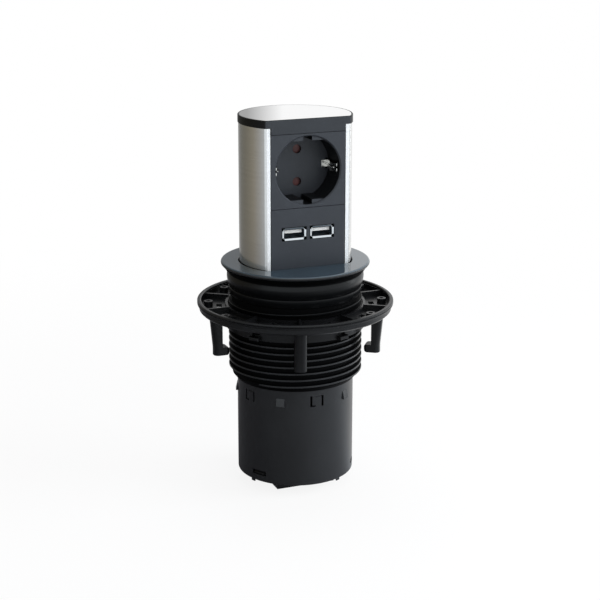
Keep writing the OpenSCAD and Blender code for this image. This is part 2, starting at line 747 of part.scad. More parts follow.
module guide_shoes() color([0.8, 0.8, 0.76])
    for (a = shoe_places) sector(a, 13.6)
        translate([tower_r - 1.25, carriage_bottom + 0.55])
            square([can_in - 0.25 - tower_r + 1.25, carriage_t - 1.1]);

module stop_bumper() color([0.08, 0.08, 0.08]) {
    box([-4, stop_y, stop_z - 2], [4, stop_y + 3, stop_z - 0.5]);
    box([-3.4, stop_y + 0.5, stop_z - 0.6], [3.4, stop_y + 2.5, stop_z]);
}

module carriage_screws() color([0.75, 0.75, 0.77])
    for (a = screw_places) rotate([0, 0, a])
        translate([0, 2 - tower_r + 2.2, carriage_bottom + 0.2]) difference() {
            union() {
                cylinder(r = 2.3, h = 1.4, $fn = 32);
                cylinder(r = 1.2, h = 9, $fn = 24);
            }
            for (t = [0, 90]) rotate(t) cube([2.6, 0.6, 1.4], center = true);
        }

shelf_in = sleeve_t + 0.1;
shelf_t = 2;
collar_h = 3;
top_shelf_z = socket_z + cup_r + 0.15;
mid_shelf_z = socket_z - cup_r - 0.15 - shelf_t;
low_shelf_z = sleeve_bottom + 8;
spine_y = floor_back + back_depth + 5.1;
spine_x = 16;
spine_top = sleeve_top - collar_h;
// the spine's edges reach the metal sleeve
spine_back = sqrt(pow(tower_r - shelf_in - 0.1, 2) - pow(spine_x, 2));

module shelf(z, t) intersection() {
    tower_slab(shelf_in, z, z + t);
    translate([-far / 2, panel_back + 0.1, z - 1]) cube([far, far, t + 2]);
}

module chassis() color([0.2, 0.2, 0.21]) difference() {
    union() {
        shelf(low_shelf_z, shelf_t);
        shelf(mid_shelf_z, shelf_t);
        shelf(top_shelf_z, spine_top - 0.1 - top_shelf_z);
        box([-spine_x, spine_y, low_shelf_z], [spine_x, spine_y + 2.2, spine_top - 0.2]);
        for (s = [-1, 1]) translate([s * (spine_x - 1), 0, 0])
            box([-1, spine_y, low_shelf_z], [1, spine_back, spine_top - 0.2]);
    }
    translate([0, 0, low_shelf_z - 1]) cylinder(r = lead_hole_r - 1, h = 6);
    // passage for the wires
    box([-5, spine_y - 6, mid_shelf_z - 1], [5, spine_y, mid_shelf_z + 3]);
}

module lead_gland() color([0.1, 0.1, 0.1]) {
    tube(lead_hole_r, 3, low_shelf_z + shelf_t, low_shelf_z + shelf_t + 2);
    intersection() {
        tube(lead_hole_r - 1.1, 3, low_shelf_z, low_shelf_z + shelf_t + 0.1);
        translate([0, 0, lead_top]) cylinder(r = lead_hole_r, h = 20);
    }
}

module tower_sleeve() color([0.72, 0.72, 0.72]) difference() {
    tower_slab(0, sleeve_bottom, sleeve_top);
    tower_slab(sleeve_t, sleeve_bottom - 1, sleeve_top + 1);
    box([-window_x, -tower_r, sleeve_bottom - 1], [window_x, 0, sleeve_top + 1]);
}

cap_edge = 0.5;

module cap() color([0.1, 0.1, 0.11]) difference() {
    union() {
        intersection() {
            tower_slab(-cap_proud, sleeve_top, tower_top);
            // its cone breaks the upper edge
            rotate_extrude($fn = 160) polygon([
                [0, sleeve_top - 1], [tower_r + 5, sleeve_top - 1],
                [tower_r + 5, tower_top + cap_proud - cap_edge - 5],
                [tower_r + cap_proud - cap_edge - 1, tower_top + 1], [0, tower_top + 1]
            ]);
        }
        // apron that closes the front above the socket
        box([-panel_x, -tower_flat - cap_proud, apron_z + seam], [panel_x, panel_back, sleeve_top + 1]);
        // collar inside the sleeve's round part
        difference() {
            tower_slab(sleeve_t + 0.1, sleeve_top - collar_h, sleeve_top + eps);
            tower_slab(sleeve_t + 1.8, sleeve_top - collar_h - 1, sleeve_top);
            box([-far, -far, 0], [far, 6 - tower_flat, sleeve_top]);
        }
    }
    tower_slab(cap_border - cap_proud, tower_top - plate_t, tower_top + 1);
    // broken front edge
    translate([0, -tower_flat - cap_proud, tower_top]) rotate([45, 0, 0])
        cube([far, cap_edge * sqrt(2), cap_edge * sqrt(2)], center = true);
}

module cap_plate() color([0.8, 0.8, 0.8])
    tower_slab(cap_border - cap_proud + 0.05, tower_top - plate_t, tower_top);

corner_x = panel_x - 4.1;
corner_z = recess_r - 2;

module corner_places() for (sx = [-1, 1]) for (sz = [-1, 1])
    translate([sx * corner_x, 0, socket_z + sz * corner_z]) children();

module socket_face() color([0.25, 0.27, 0.3]) difference() {
    union() {
        box([-panel_x, -tower_flat, seam_z + seam], [panel_x, panel_back, apron_z - seam]);
        rod_y(cup_r, 0, socket_z, panel_back - 1, floor_back, 120);
        corner_places() rod_y(2.7, 0, 0, panel_back - 1, floor_back - 0.1);
    }
    difference() {
        rod_y(recess_r, 0, socket_z, -tower_flat - 1, floor_front, 120);
        // keys: the recess keeps a flat segment above and below
        for (s = [-1, 1]) difference() {
            translate([0, (1.2 - tower_flat + floor_front + 1) / 2, socket_z + s * (key_chord + 5)])
                cube([60, floor_front + 1 + tower_flat - 1.2, 10], center = true);
            translate([0, 0, socket_z + s * key_chord])
                cube([key_groove, 100, 8], center = true);
        }
    }
    // broken edge of the mouth
    translate([0, -tower_flat + 0.6, socket_z]) rotate([90, 0, 0])
        cylinder(r1 = recess_r, r2 = recess_r + 0.7, h = 0.7, $fn = 120);
    for (s = [-1, 1]) {
        rod_y(pin_hole_d / 2, 0, socket_z + s * pin_spacing / 2, floor_front - 1, floor_back + 1);
        translate([s * clip_x, (floor_front + floor_back) / 2, socket_z])
            cube([clip_t + 1, floor_t + 2, clip_h + 0.4], center = true);
    }
    corner_places() rod_y(1.2, 0, 0, panel_back + 4, floor_back + 1, 24);
}

clip_x = recess_r - 1.2;
strap_y = floor_back + 3.9;

// One spring strip bent to a U: its arms stand at the sides of the recess and
// bulge inwards, and its strap passes behind the floor
module earth_clip() color([0.78, 0.77, 0.72]) {
    x = clip_x - clip_t / 2;
    bulge = 2.7;
    for (s = [0, 1]) mirror([s, 0, 0]) {
        translate([0, 0, socket_z - clip_h / 2]) linear_extrude(clip_h) polygon([
            [x, strap_y], [x, -7], [x - bulge, -12.6], [x - bulge, -13.8], [x - 0.6, -17.6],
            [x - 0.2, -17.8], [x - bulge + clip_t, -13.8], [x - bulge + clip_t, -12.7],
            [x + clip_t, -7.1], [x + clip_t, strap_y]
        ]);
        // raised nose along the middle of the strip
        translate([0, 0, socket_z - clip_h / 4]) linear_extrude(clip_h / 2) polygon([
            [x + 0.1, -8.5], [x - bulge - 0.7, -12.6], [x - bulge - 0.7, -13.8], [x - 0.9, -17],
            [x - bulge + 0.2, -13.8], [x - bulge + 0.2, -12.6]
        ]);
    }
    box([-x - clip_t, strap_y - eps, socket_z - clip_h / 2],
        [x + clip_t, strap_y + clip_t, socket_z + clip_h / 2]);
}

shutter_t = 1.5;
shutter_h = pin_spacing + pin_hole_d + 2.4;
shutter_w = shutter_travel + 0.2;
shutter_y = floor_back + 0.15;

// A plate behind both contact holes, whose slanted edge lets a plug push it aside
module shutter() color([0.3, 0.16, 0.16])
    translate([0, shutter_y, socket_z - shutter_h / 2]) linear_extrude(shutter_h) polygon([
        [-shutter_w / 2, shutter_t - 0.5], [0.4, 0], [shutter_w / 2, 0],
        [shutter_w / 2, shutter_t], [-shutter_w / 2, shutter_t]
    ]);

shutter_spring_d = 0.35;

module shutter_spring() color([0.7, 0.7, 0.72])
    translate([0, shutter_y + shutter_t / 2, socket_z])
        rotate([0, 90, 0]) swept(helix(0.55, shutter_w / 2 + body_gap / 2, spring_pocket - 0.1, 6, 8),
            shutter_spring_d, 4);

spring_pocket = shutter_w / 2 + shutter_travel + 0.8;

module socket_back() color([0.14, 0.14, 0.15]) difference() {
    box([-cup_r - 0.5, floor_back, socket_z - cup_r + 0.5],
        [cup_r + 0.5, floor_back + back_depth, socket_z + cup_r - 0.5]);
    // room for the shutter and its stroke
    box([-shutter_w / 2 - 0.4, floor_back - 1, socket_z - shutter_h / 2 - 0.4],
        [spring_pocket, shutter_y + shutter_t + 0.3, socket_z + shutter_h / 2 + 0.4]);
    // slot for the earth clip's strap, open at the back
    box([-clip_x - clip_t, floor_back - 1, socket_z - clip_h / 2 - 0.1],
        [0.2 - clip_x + clip_t, far, socket_z + clip_h / 2 + 0.1]);
    box([clip_x - clip_t - 0.2, floor_back - 1, socket_z - clip_h / 2 - 0.1],
        [clip_x + clip_t, far, socket_z + clip_h / 2 + 0.1]);
    box([-clip_x, strap_y - 0.1, socket_z - clip_h / 2 - 0.1],
        [clip_x, far, socket_z + clip_h / 2 + 0.1]);
    for (s = [-1, 1])
        rod_y(contact_r + 0.1, 0, socket_z + s * pin_spacing / 2, shutter_y, far / 2);
    corner_places() {
        rod_y(1.45, 0, 0, floor_back - 1, far / 2, 24);
        rod_y(2.7, 0, 0, floor_back + back_depth - 2, far / 2, 32);
    }
}

contact_r = 3.3;

// A slotted tube that grips a plug's pin, with a tail for its wire
module contact(z, turn) translate([0, 0, z]) rotate([0, turn, 0]) difference() {
    y0 = shutter_y + shutter_t + 0.4;
    y1 = floor_back + back_depth;
    union() {
        rod_y(contact_r, 0, 0, y0, y1 - 2);
        box([-2, y1 - 2.1, 0], [2, y1 + 5, 0.9]);
    }
    rod_y(2.35, 0, 0, y0 - 1, y1 - 4);
    box([-0.4, y0 - 1, -9], [0.4, y1 - 5, 9]);
}

module line_contact() color([0.8, 0.65, 0.35]) contact(socket_z + pin_spacing / 2, 0);
module neutral_contact() color([0.8, 0.65, 0.35]) contact(socket_z - pin_spacing / 2, 180);

module socket_screws() color([0.75, 0.75, 0.77]) corner_places() difference() {
    y = floor_back + back_depth;
    union() {
        rod_y(2.5, 0, 0, y - 2, y - 0.4, 32);
        rod_y(1.15, 0, 0, panel_back + 5, y - 1, 24);
    }
    for (t = [0, 90]) translate([0, y - 0.4, 0]) rotate([0, t, 0]) cube([2.8, 1.2, 0.6], center = true);
}

shell_w = port_w - 1.8;
shell_h = port_h - 1.9;
shell_t = 0.35;

module port_places() for (s = [-1, 1]) translate([s * port_spacing / 2, 0, port_z]) children();

module usb_panel() color([0.25, 0.27, 0.3]) difference() {
    box([-panel_x, -tower_flat, sleeve_bottom + 0.1], [panel_x, panel_back, seam_z - seam]);
    port_places() cube([port_w + 0.2, 100, port_h + 0.2], center = true);
}

// A pressed shell with four flared lips, which leave the corners open
module port_shell() {
    y0 = 0.5 - tower_flat;
    difference() {
        box([-shell_w / 2, y0, -shell_h / 2], [shell_w / 2, y0 + port_depth, shell_h / 2]);
        box([shell_t - shell_w / 2, y0 - 1, shell_t - shell_h / 2],
            [shell_w / 2 - shell_t, y0 + port_depth - 1, shell_h / 2 - shell_t]);
    }
    for (t = [0, 180]) rotate([0, t, 0]) {
        rib(shell_w - 2.4) polygon([
            [-y0 + 0.4, port_h / 2], [-y0 + 0.4, port_h / 2 - shell_t], [-y0, shell_h / 2 - shell_t],
            [-y0 - 1, shell_h / 2 - shell_t], [-y0 - 1, shell_h / 2], [-y0 - 0.2, shell_h / 2]
        ]);
        translate([0, 0, 1.4 - shell_h / 2]) linear_extrude(shell_h - 2.8) polygon([
            [port_w / 2, y0 - 0.4], [port_w / 2 - shell_t, y0 - 0.4], [shell_w / 2 - shell_t, y0],
            [shell_w / 2 - shell_t, y0 + 1], [shell_w / 2, y0 + 1], [shell_w / 2, y0 + 0.2]
        ]);
    }
}

module usb_shell_left() color([0.8, 0.8, 0.82])
    translate([-port_spacing / 2, 0, port_z]) port_shell();
module usb_shell_right() color([0.8, 0.8, 0.82])
    translate([port_spacing / 2, 0, port_z]) port_shell();

module usb_tongues() color([0.9, 0.9, 0.88]) port_places() {
    y0 = 2.2 - tower_flat;
    y1 = 0.5 - tower_flat + port_depth - 1;
    box([-5.3, y0, 0.2], [5.3, y1, 1.9]);
    for (k = [-1.5 : 1]) box([2.4 * k - 0.5, y0 + 0.8, 0.05], [2.4 * k + 0.5, y0 + 8, 0.21]);
}

board_y = 0.5 - tower_flat + port_depth;
board_t = 1.6;
board_x = panel_x - 3.5;
board_z = low_shelf_z + 9;

module charger_board() color([0.12, 0.3, 0.18]) {
    box([-board_x, board_y, board_z], [board_x, board_y + board_t, mid_shelf_z]);
    box([-8, board_y + board_t, board_z + 2], [-3, board_y + board_t + 1.2, board_z + 7]);
    box([3, board_y + board_t, board_z + 2], [9, board_y + board_t + 1.2, board_z + 6]);
}

coil_l = 10;
core_z = port_z - 13.4;
core_t = 4;

module transformer() color([0.75, 0.7, 0.3]) {
    y0 = board_y + board_t;
    for (z = [core_z, core_z + core_t + coil_l])
        box([-16, y0, z], [-2, y0 + coil_l, z + core_t]);
    translate([-9, y0 + coil_l / 2, core_z + core_t - eps])
        cylinder(r = coil_l / 2 - 0.1, h = coil_l + 2 * eps);
}

module capacitors() color([0.15, 0.2, 0.35])
    for (z = [core_z + 3, port_z + 0.6]) difference() {
        rod_y(4, 8, z, board_y + board_t, board_y + board_t + 12);
        rod_y(3, 8, z, board_y + board_t + 11.6, board_y + board_t + 13);
    }

cover_ring();
threaded_sleeve();
lower_can();
bottom_cover();
inlet_block();
inlet_pins();
lift_spring();
internal_lead();
damper_rack();
latch_bracket();
latch_pin();
latch_hook();
clamp_ring();
wing_nut();
carriage();
guide_shoes();
stop_bumper();
latch_striker();
damper_body();
damper_pinion();
carriage_screws();
chassis();
lead_gland();
tower_sleeve();
cap();
cap_plate();
socket_face();
earth_clip();
shutter();
shutter_spring();
socket_back();
line_contact();
neutral_contact();
socket_screws();
usb_panel();
usb_shell_left();
usb_shell_right();
usb_tongues();
charger_board();
transformer();
capacitors();
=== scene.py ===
from math import atan2, cos, degrees, hypot, pi, radians, sin, sqrt

import bmesh
import bpy
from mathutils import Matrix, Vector


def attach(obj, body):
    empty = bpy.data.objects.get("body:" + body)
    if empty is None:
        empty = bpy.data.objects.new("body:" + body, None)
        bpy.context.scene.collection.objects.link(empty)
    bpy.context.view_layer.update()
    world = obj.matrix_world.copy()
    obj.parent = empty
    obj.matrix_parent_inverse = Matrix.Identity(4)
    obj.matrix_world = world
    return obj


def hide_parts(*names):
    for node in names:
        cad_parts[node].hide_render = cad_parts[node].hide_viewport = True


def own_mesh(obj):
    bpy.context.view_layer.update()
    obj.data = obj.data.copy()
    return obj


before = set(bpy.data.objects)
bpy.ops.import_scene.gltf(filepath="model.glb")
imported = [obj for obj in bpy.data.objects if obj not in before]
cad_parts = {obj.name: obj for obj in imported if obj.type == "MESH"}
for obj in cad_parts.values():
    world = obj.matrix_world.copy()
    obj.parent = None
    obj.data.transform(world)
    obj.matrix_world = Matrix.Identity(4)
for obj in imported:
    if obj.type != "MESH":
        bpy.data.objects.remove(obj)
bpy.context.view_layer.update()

mm = 0.001                # every size below is in millimetres
slack = 0.1               # by how much a place may miss in a test
facing = 0.9              # a normal with more than this along an axis faces that way
over = 1.0                # by how much a cutter or a root reaches past what it meets
scene = bpy.context.scene
print("frame loaded:", len(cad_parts), "nodes")

# Camera

cameraSetup = dict(
    azimuth=21.59,     # degrees from the front towards the left
    distance=827.7,
    height=216.8,
    tilt=14.27,        # degrees downwards
    focal=1463.1,      # in pixels of the picture
    pictureWidth=600,
    sensor=36,
    shift=(0.008, -0.08),
    clip=(0.01, 50),   # in metres
)


def makeCamera(setup):
    camera = bpy.data.objects.new("camera", bpy.data.cameras.new("camera"))
    scene.collection.objects.link(camera)
    turn = radians(setup["azimuth"])
    camera.location = (
        -setup["distance"] * sin(turn) * mm, -setup["distance"] * cos(turn) * mm,
        setup["height"] * mm,
    )
    camera.rotation_euler = (radians(90 - setup["tilt"]), 0, -turn)
    camera.data.lens = setup["focal"] * setup["sensor"] / setup["pictureWidth"]
    camera.data.sensor_width = setup["sensor"]
    camera.data.shift_x, camera.data.shift_y = setup["shift"]
    camera.data.clip_start, camera.data.clip_end = setup["clip"]
    scene.camera = camera


makeCamera(cameraSetup)

# Shader maths

# places of the Mix node's colour sockets, whose names others share
mixFactor, mixFirst, mixSecond, mixResult = 0, 6, 7, 2


class Signal:
    # one output of a node, with arithmetic that adds Math nodes
    def __init__(self, finish, socket):
        self.finish = finish
        self.socket = socket

    def join(self, operation, other=0.0):
        return self.finish.node("ShaderNodeMath", {0: self, 1: other}, operation=operation)

    def __add__(self, other):
        return self.join("ADD", other)

    __radd__ = __add__

    def __mul__(self, other):
        return self.join("MULTIPLY", other)

    def __truediv__(self, other):
        return self.join("DIVIDE", other)


class Finish:
    # a node tree under construction: a material or the world
    def __init__(self, tree):
        self.tree = tree
        tree.nodes.clear()

    def node(self, kind, inputs, output=0, **settings):
        made = self.tree.nodes.new(kind)
        for key, value in settings.items():
            if key == "stops":
                self.setStops(made.color_ramp, value)
            else:
                setattr(made, key, value)
        for key, value in inputs.items():
            if isinstance(value, Signal):
                self.tree.links.new(value.socket, made.inputs[key])
            else:
                made.inputs[key].default_value = value
        return Signal(self, made.outputs[output]) if len(made.outputs) else None

    def setStops(self, ramp, stops):
        while len(ramp.elements) < len(stops):
            ramp.elements.new(0.5)
        for element, (place, colour) in zip(ramp.elements, stops):
            element.position, element.color = place, colour

    def step(self, value, low, high):
        # 0 below low, 1 above high, smooth between them
        return self.node(
            "ShaderNodeMapRange", {"Value": value, "From Min": low, "From Max": high},
            interpolation_type="SMOOTHSTEP")

    def blend(self, factor, first, second):
        return self.node(
            "ShaderNodeMix", {mixFactor: factor, mixFirst: first, mixSecond: second}, mixResult,
            data_type="RGBA")

    def noise(self, vector, scale, detail, roughness=0.5):
        return self.node("ShaderNodeTexNoise", {
            "Vector": vector, "Scale": scale, "Detail": detail, "Roughness": roughness})

    def places(self):
        return self.node("ShaderNodeTexCoord", {}, "Object")

    def bump(self, height, depth, strength):
        return self.node("ShaderNodeBump", {
            "Height": height, "Distance": depth, "Strength": strength})

    def ray(self, kind):
        return self.node("ShaderNodeLightPath", {}, kind)


def rgba(colour):
    return (*colour, 1.0)


def shade(colour, factor):
    return rgba(min(1.0, part * factor) for part in colour)


def drifting(base, shares, first, second):
    # a value that drifts with two noises
    plain, byFirst, bySecond = shares
    return base * plain + first * (base * byFirst) + second * (base * bySecond)


def newFinish(name):
    material = bpy.data.materials.new(name)
    material.use_nodes = True
    return material, Finish(material.node_tree)


def closeFinish(finish, settings):
    shader = finish.node("ShaderNodeBsdfPrincipled", settings)
    finish.node("ShaderNodeOutputMaterial", {"Surface": shader})


# Finishes

plastics = {
    # base colour, roughness, grain size in mm, grain depth in mm, specular level
    "glossBlack": ((0.03, 0.05, 0.069), 0.03, 9.0, 0.0008, 1.0),
    "blackPlastic": ((0.013, 0.014, 0.0158), 0.34, 0.35, 0.005, 0.5),
    "nutPlastic": ((0.0055, 0.0058, 0.0066), 0.32, 0.35, 0.005, 0.36),
    "panelPlastic": ((0.026, 0.03, 0.037), 0.46, 0.28, 0.008, 0.44),
    "capPlastic": ((0.021, 0.0245, 0.03), 0.42, 0.28, 0.006, 0.45),
    "rimBlack": ((0.003, 0.0032, 0.0036), 0.4, 0.28, 0.004, 0.22),
    # painted shade: near-black for the walls of the socket recess
    "paintedRecessShade": ((0.0045, 0.005, 0.0058), 0.5, 0.28, 0.004, 0.18),
    "acetal": ((0.72, 0.7, 0.64), 0.38, 0.5, 0.004, 0.5),
    "shutterRed": ((0.085, 0.022, 0.02), 0.42, 0.3, 0.006, 0.5),
    "bumperRubber": ((0.014, 0.014, 0.015), 0.72, 0.4, 0.014, 0.4),
    "leadJacket": ((0.02, 0.02, 0.022), 0.55, 0.5, 0.01, 0.5),
    # painted shade: the next two darken the neck under the ring, the ring's underside and the
    # thread's grooves
    "paintedNeckShade": ((0.0026, 0.0029, 0.0034), 0.3, 0.35, 0.004, 0.27),
    "paintedGrooveShade": ((0.0012, 0.0013, 0.0015), 0.6, 0.35, 0.004, 0.06),
    "ridgePlastic": ((0.012, 0.013, 0.0146), 0.3, 0.35, 0.004, 0.5),
    "tongueWhite": ((0.62, 0.63, 0.62), 0.35, 0.4, 0.003, 0.5),
    "canSleeve": ((0.03, 0.05, 0.115), 0.28, 0.6, 0.002, 0.5),
}


mould = dict(
    driftScale=55, fineRoughness=0.6, speckScale=420, speckEdge=(0.66, 0.74), speckShare=0.1,
    mottle=(0.75, 0.25), dark=0.8, light=1.22, speckShade=2.2, gloss=(0.86, 0.2, 0.08),
    bump=0.5,
)


def mouldedPlastic(name, colour, roughness, grain, depth, shine):
    # eroded mould grain, with slow drifts of colour and gloss
    material, finish = newFinish(name)
    places = finish.places()
    drift = finish.noise(places, mould["driftScale"], 2)
    fine = finish.noise(places, 1000 / grain, 2, mould["fineRoughness"])
    specks = finish.step(finish.noise(places, mould["speckScale"], 1), *mould["speckEdge"])
    mottle = drift * mould["mottle"][0] + fine * mould["mottle"][1]
    tint = finish.blend(mottle, shade(colour, mould["dark"]), shade(colour, mould["light"]))
    worn = finish.blend(specks * mould["speckShare"], tint, shade(colour, mould["speckShade"]))
    closeFinish(finish, {
        "Base Color": worn,
        "Roughness": drifting(roughness, mould["gloss"], drift, fine),
        "Normal": finish.bump(fine, depth * mm, mould["bump"]),
        "Specular IOR Level": shine,
    })
    return material


metals = {
    # base colour, roughness, line size along X, Y, Z in mm, their depth in mm, and metallic
    "brushedSleeve": ((0.8, 0.79, 0.775), 0.25, (60, 60, 0.5), 0.0014),
    # painted highlight: a lighter, half-metallic copy of the sleeve's metal for its flat front
    # strips
    "paintedStripHighlight": ((0.84, 0.86, 0.88), 0.3, (60, 60, 0.5), 0.001, 0.45),
    "brushedPlate": ((0.93, 0.935, 0.94), 0.045, (70, 0.22, 70), 0.0001),
    "nickel": ((0.7, 0.69, 0.66), 0.2, (1.5, 1.5, 0.8), 0.0006),
    "shellNickel": ((0.8, 0.82, 0.84), 0.14, (2.5, 6.0, 2.5), 0.0005),
    # painted shade: a darker, duller copy of the shell's nickel for its inside
    "paintedShellShade": ((0.3, 0.34, 0.38), 0.42, (2.5, 6.0, 2.5), 0.0008),
    "zinc": ((0.56, 0.57, 0.58), 0.34, (0.9, 0.9, 0.9), 0.0015),
    "springWire": ((0.52, 0.52, 0.53), 0.28, (0.7, 0.7, 3.0), 0.0008),
    "contactBrass": ((0.74, 0.55, 0.25), 0.26, (2.0, 6.0, 2.0), 0.0008),
    "winding": ((0.62, 0.3, 0.13), 0.34, (8, 8, 0.3), 0.012),
}

brushing = dict(
    fineScale=1, fineRoughness=0.65, broadScale=0.22, driftScale=45, mottle=(0.6, 0.4),
    dark=0.86, light=1.1, gloss=(0.78, 0.26, 0.18), bump=0.6,
)


def brushedMetal(name, colour, roughness, lines, depth, metallic=1.0):
    # fine parallel lines, crossed by a slow drift of the gloss
    material, finish = newFinish(name)
    brushed = finish.node("ShaderNodeMapping", {
        "Vector": finish.places(), "Scale": [1000 / size for size in lines]})
    fine = finish.noise(brushed, brushing["fineScale"], 3, brushing["fineRoughness"])
    broad = finish.noise(brushed, brushing["broadScale"], 2)
    drift = finish.noise(finish.places(), brushing["driftScale"], 2)
    mottle = fine * brushing["mottle"][0] + broad * brushing["mottle"][1]
    closeFinish(finish, {
        "Base Color": finish.blend(mottle, shade(colour, brushing["dark"]),
            shade(colour, brushing["light"])),
        "Metallic": metallic,
        "Roughness": drifting(roughness, brushing["gloss"], fine, drift),
        "Normal": finish.bump(fine, depth * mm, brushing["bump"]),
    })
    return material


board = dict(
    scale=190, distortion=6, trackEdge=(0.45, 0.6), grainScale=900,
    mask=(0.012, 0.085, 0.035), track=(0.02, 0.125, 0.052), roughness=0.26, drift=0.12,
    grain=0.2, depth=0.02, bump=0.5,
)


def circuitBoard(name):
    # solder mask over faint tracks
    material, finish = newFinish(name)
    bands = finish.node("ShaderNodeTexWave", {
        "Vector": finish.places(), "Scale": board["scale"], "Distortion": board["distortion"],
        "Detail": 1.0}, 1, wave_type="BANDS", bands_direction="Z")
    tracks = finish.step(bands, *board["trackEdge"])
    grain = finish.noise(finish.places(), board["grainScale"], 2)
    closeFinish(finish, {
        "Base Color": finish.blend(tracks, rgba(board["mask"]), rgba(board["track"])),
        "Roughness": board["roughness"] + grain * board["drift"],
        "Normal": finish.bump(tracks + grain * board["grain"], board["depth"] * mm, board["bump"]),
    })
    return material


finishes = {name: mouldedPlastic(name, *values) for name, values in plastics.items()}
finishes.update({name: brushedMetal(name, *values) for name, values in metals.items()})
finishes["boardGreen"] = circuitBoard("boardGreen")
print("finishes made:", len(finishes))

# Modelling tools


def pick(piece):
    bpy.ops.object.select_all(action="DESELECT")
    piece.select_set(True)
    bpy.context.view_layer.objects.active = piece


def choose(piece, kind, test):
    # enters edit mode with the faces, edges or corners that pass the test selected
    pick(piece)
    bpy.ops.object.mode_set(mode="EDIT")
    bpy.ops.mesh.select_mode(type=kind)
    bpy.ops.mesh.select_all(action="DESELECT")
    mesh = bmesh.from_edit_mesh(piece.data)
    if kind == "FACE":
        chosen = [face for face in mesh.faces if test(face.calc_center_median() / mm, face.normal)]
    elif kind == "EDGE":
        chosen = [edge for edge in mesh.edges if test(edge.verts[0].co / mm, edge.verts[1].co / mm)]
    else:
        chosen = [corner for corner in mesh.verts if test(corner.co / mm)]
    for item in chosen:
        item.select_set(True)
    mesh.select_flush_mode()
    bmesh.update_edit_mesh(piece.data)


def leave():
    bpy.ops.object.mode_set(mode="OBJECT")


def metres(place):
    return tuple(part * mm for part in place)


def move(piece, way, test):
    # the corners that pass the test move
    choose(piece, "VERT", test)
    bpy.ops.transform.translate(value=metres(way))
    leave()


def extrude(piece, way, test):
    # the faces that pass the test are drawn out
    choose(piece, "FACE", test)
    bpy.ops.mesh.extrude_region_move(TRANSFORM_OT_translate={"value": metres(way)})
    leave()


def roundOff(piece, width, segments, test):
    # the edges that pass the test are rounded
    choose(piece, "EDGE", test)
    bpy.ops.mesh.bevel(offset=width * mm, segments=segments)
    leave()


def openUp(piece, test):
    # the faces that pass the test are taken away
    choose(piece, "FACE", test)
    bpy.ops.mesh.delete(type="FACE")
    leave()


def settled(name):
    # the new primitive gets its name, and its place goes into its mesh
    piece = bpy.context.object
    bpy.ops.object.transform_apply()
    piece.name = name
    return piece


def block(name, low, high):
    bpy.ops.mesh.primitive_cube_add(
        size=1, location=[(a + b) / 2 * mm for a, b in zip(low, high)],
        scale=[(b - a) * mm for a, b in zip(low, high)])
    return settled(name)


def rod(name, start, end, radius, sides, endRadius=None):
    # a round bar or cone between two points
    start, end = Vector(start), Vector(end)
    along = end - start
    bpy.ops.mesh.primitive_cone_add(
        vertices=sides, radius1=radius * mm,
        radius2=(radius if endRadius is None else endRadius) * mm,
        depth=along.length * mm, location=(start + end) / 2 * mm,
        rotation=along.to_track_quat("Z", "Y").to_euler())
    return settled(name)


def apply(piece, kind, **settings):
    pick(piece)
    modifier = piece.modifiers.new("step", kind)
    for key, value in settings.items():
        setattr(modifier, key, value)
    bpy.ops.object.modifier_apply(modifier=modifier.name)


def combine(piece, operation, others):
    for other in others:
        apply(piece, "BOOLEAN", operation=operation, object=other, solver="EXACT")
        bpy.data.objects.remove(other)
    return piece


def cut(piece, *others):
    return combine(piece, "DIFFERENCE", others)


def fuse(piece, *others):
    return combine(piece, "UNION", others)


def joined(pieces):
    # several separate shapes in one mesh
    pick(pieces[0])
    for piece in pieces[1:]:
        piece.select_set(True)
    if len(pieces) > 1:
        bpy.ops.object.join()
    return pieces[0]


def around(piece, angles):
    # the shape stands at azimuth 0; copies go to the angles, and it is deleted
    copies = []
    for angle in angles:
        pick(piece)
        bpy.ops.object.duplicate()
        twin = bpy.context.object
        twin.rotation_euler = (0, 0, radians(angle))
        bpy.ops.object.transform_apply()
        copies.append(twin)
    bpy.data.objects.remove(piece)
    return joined(copies)


mergeGap = 0.002
flatAngle = 0.6


def editAll(piece):
    pick(piece)
    bpy.ops.object.mode_set(mode="EDIT")
    bpy.ops.mesh.select_all(action="SELECT")


def clean(piece):
    # merges the corners that meet and turns every face outwards
    editAll(piece)
    bpy.ops.mesh.remove_doubles(threshold=mergeGap * mm)
    bpy.ops.mesh.normals_make_consistent()
    leave()
    return piece


def closeEnds(piece):
    editAll(piece)
    bpy.ops.mesh.fill_holes(sides=0)
    leave()
    return clean(piece)


def flatten(piece):
    # joins the facets that lie in one plane
    editAll(piece)
    bpy.ops.mesh.dissolve_limited(angle_limit=radians(flatAngle))
    leave()


def soften(piece, width, angle):
    # edges sharper than the angle, in degrees, are bevelled
    apply(piece, "BEVEL", width=width * mm, segments=2, limit_method="ANGLE",
        angle_limit=radians(angle), miter_outer="MITER_ARC")
    return piece


def dress(piece, smooth, body, finish, slot, *nodes, weighted=True):
    # the finished piece gets its shading, its look, its body and the nodes it stands for.
    # Edges sharper than smooth, in degrees, stay sharp
    pick(piece)
    bpy.ops.object.shade_smooth_by_angle(angle=radians(smooth))
    if weighted:
        apply(piece, "WEIGHTED_NORMAL", keep_sharp=True)
    piece.data.materials.clear()
    piece.data.materials.append(finishes[finish])
    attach(piece, body)
    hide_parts(*nodes)
    print("piece", piece.name, len(piece.data.polygons), "faces")


def secondFinish(piece, finish, test):
    # the faces that pass the test take another look
    piece.data.materials.append(finishes[finish])
    choose(piece, "FACE", test)
    piece.active_material_index = len(piece.data.materials) - 1
    bpy.ops.object.material_slot_assign()
    leave()


# The tower's plan is a circle with one flat, whose corners are rounded

plan = dict(radius=32.6, flat=20.2, corner=2, window=45.6)
cornerY = plan["flat"] - plan["corner"]
cornerX = sqrt((plan["radius"] - plan["corner"]) ** 2 - cornerY ** 2)


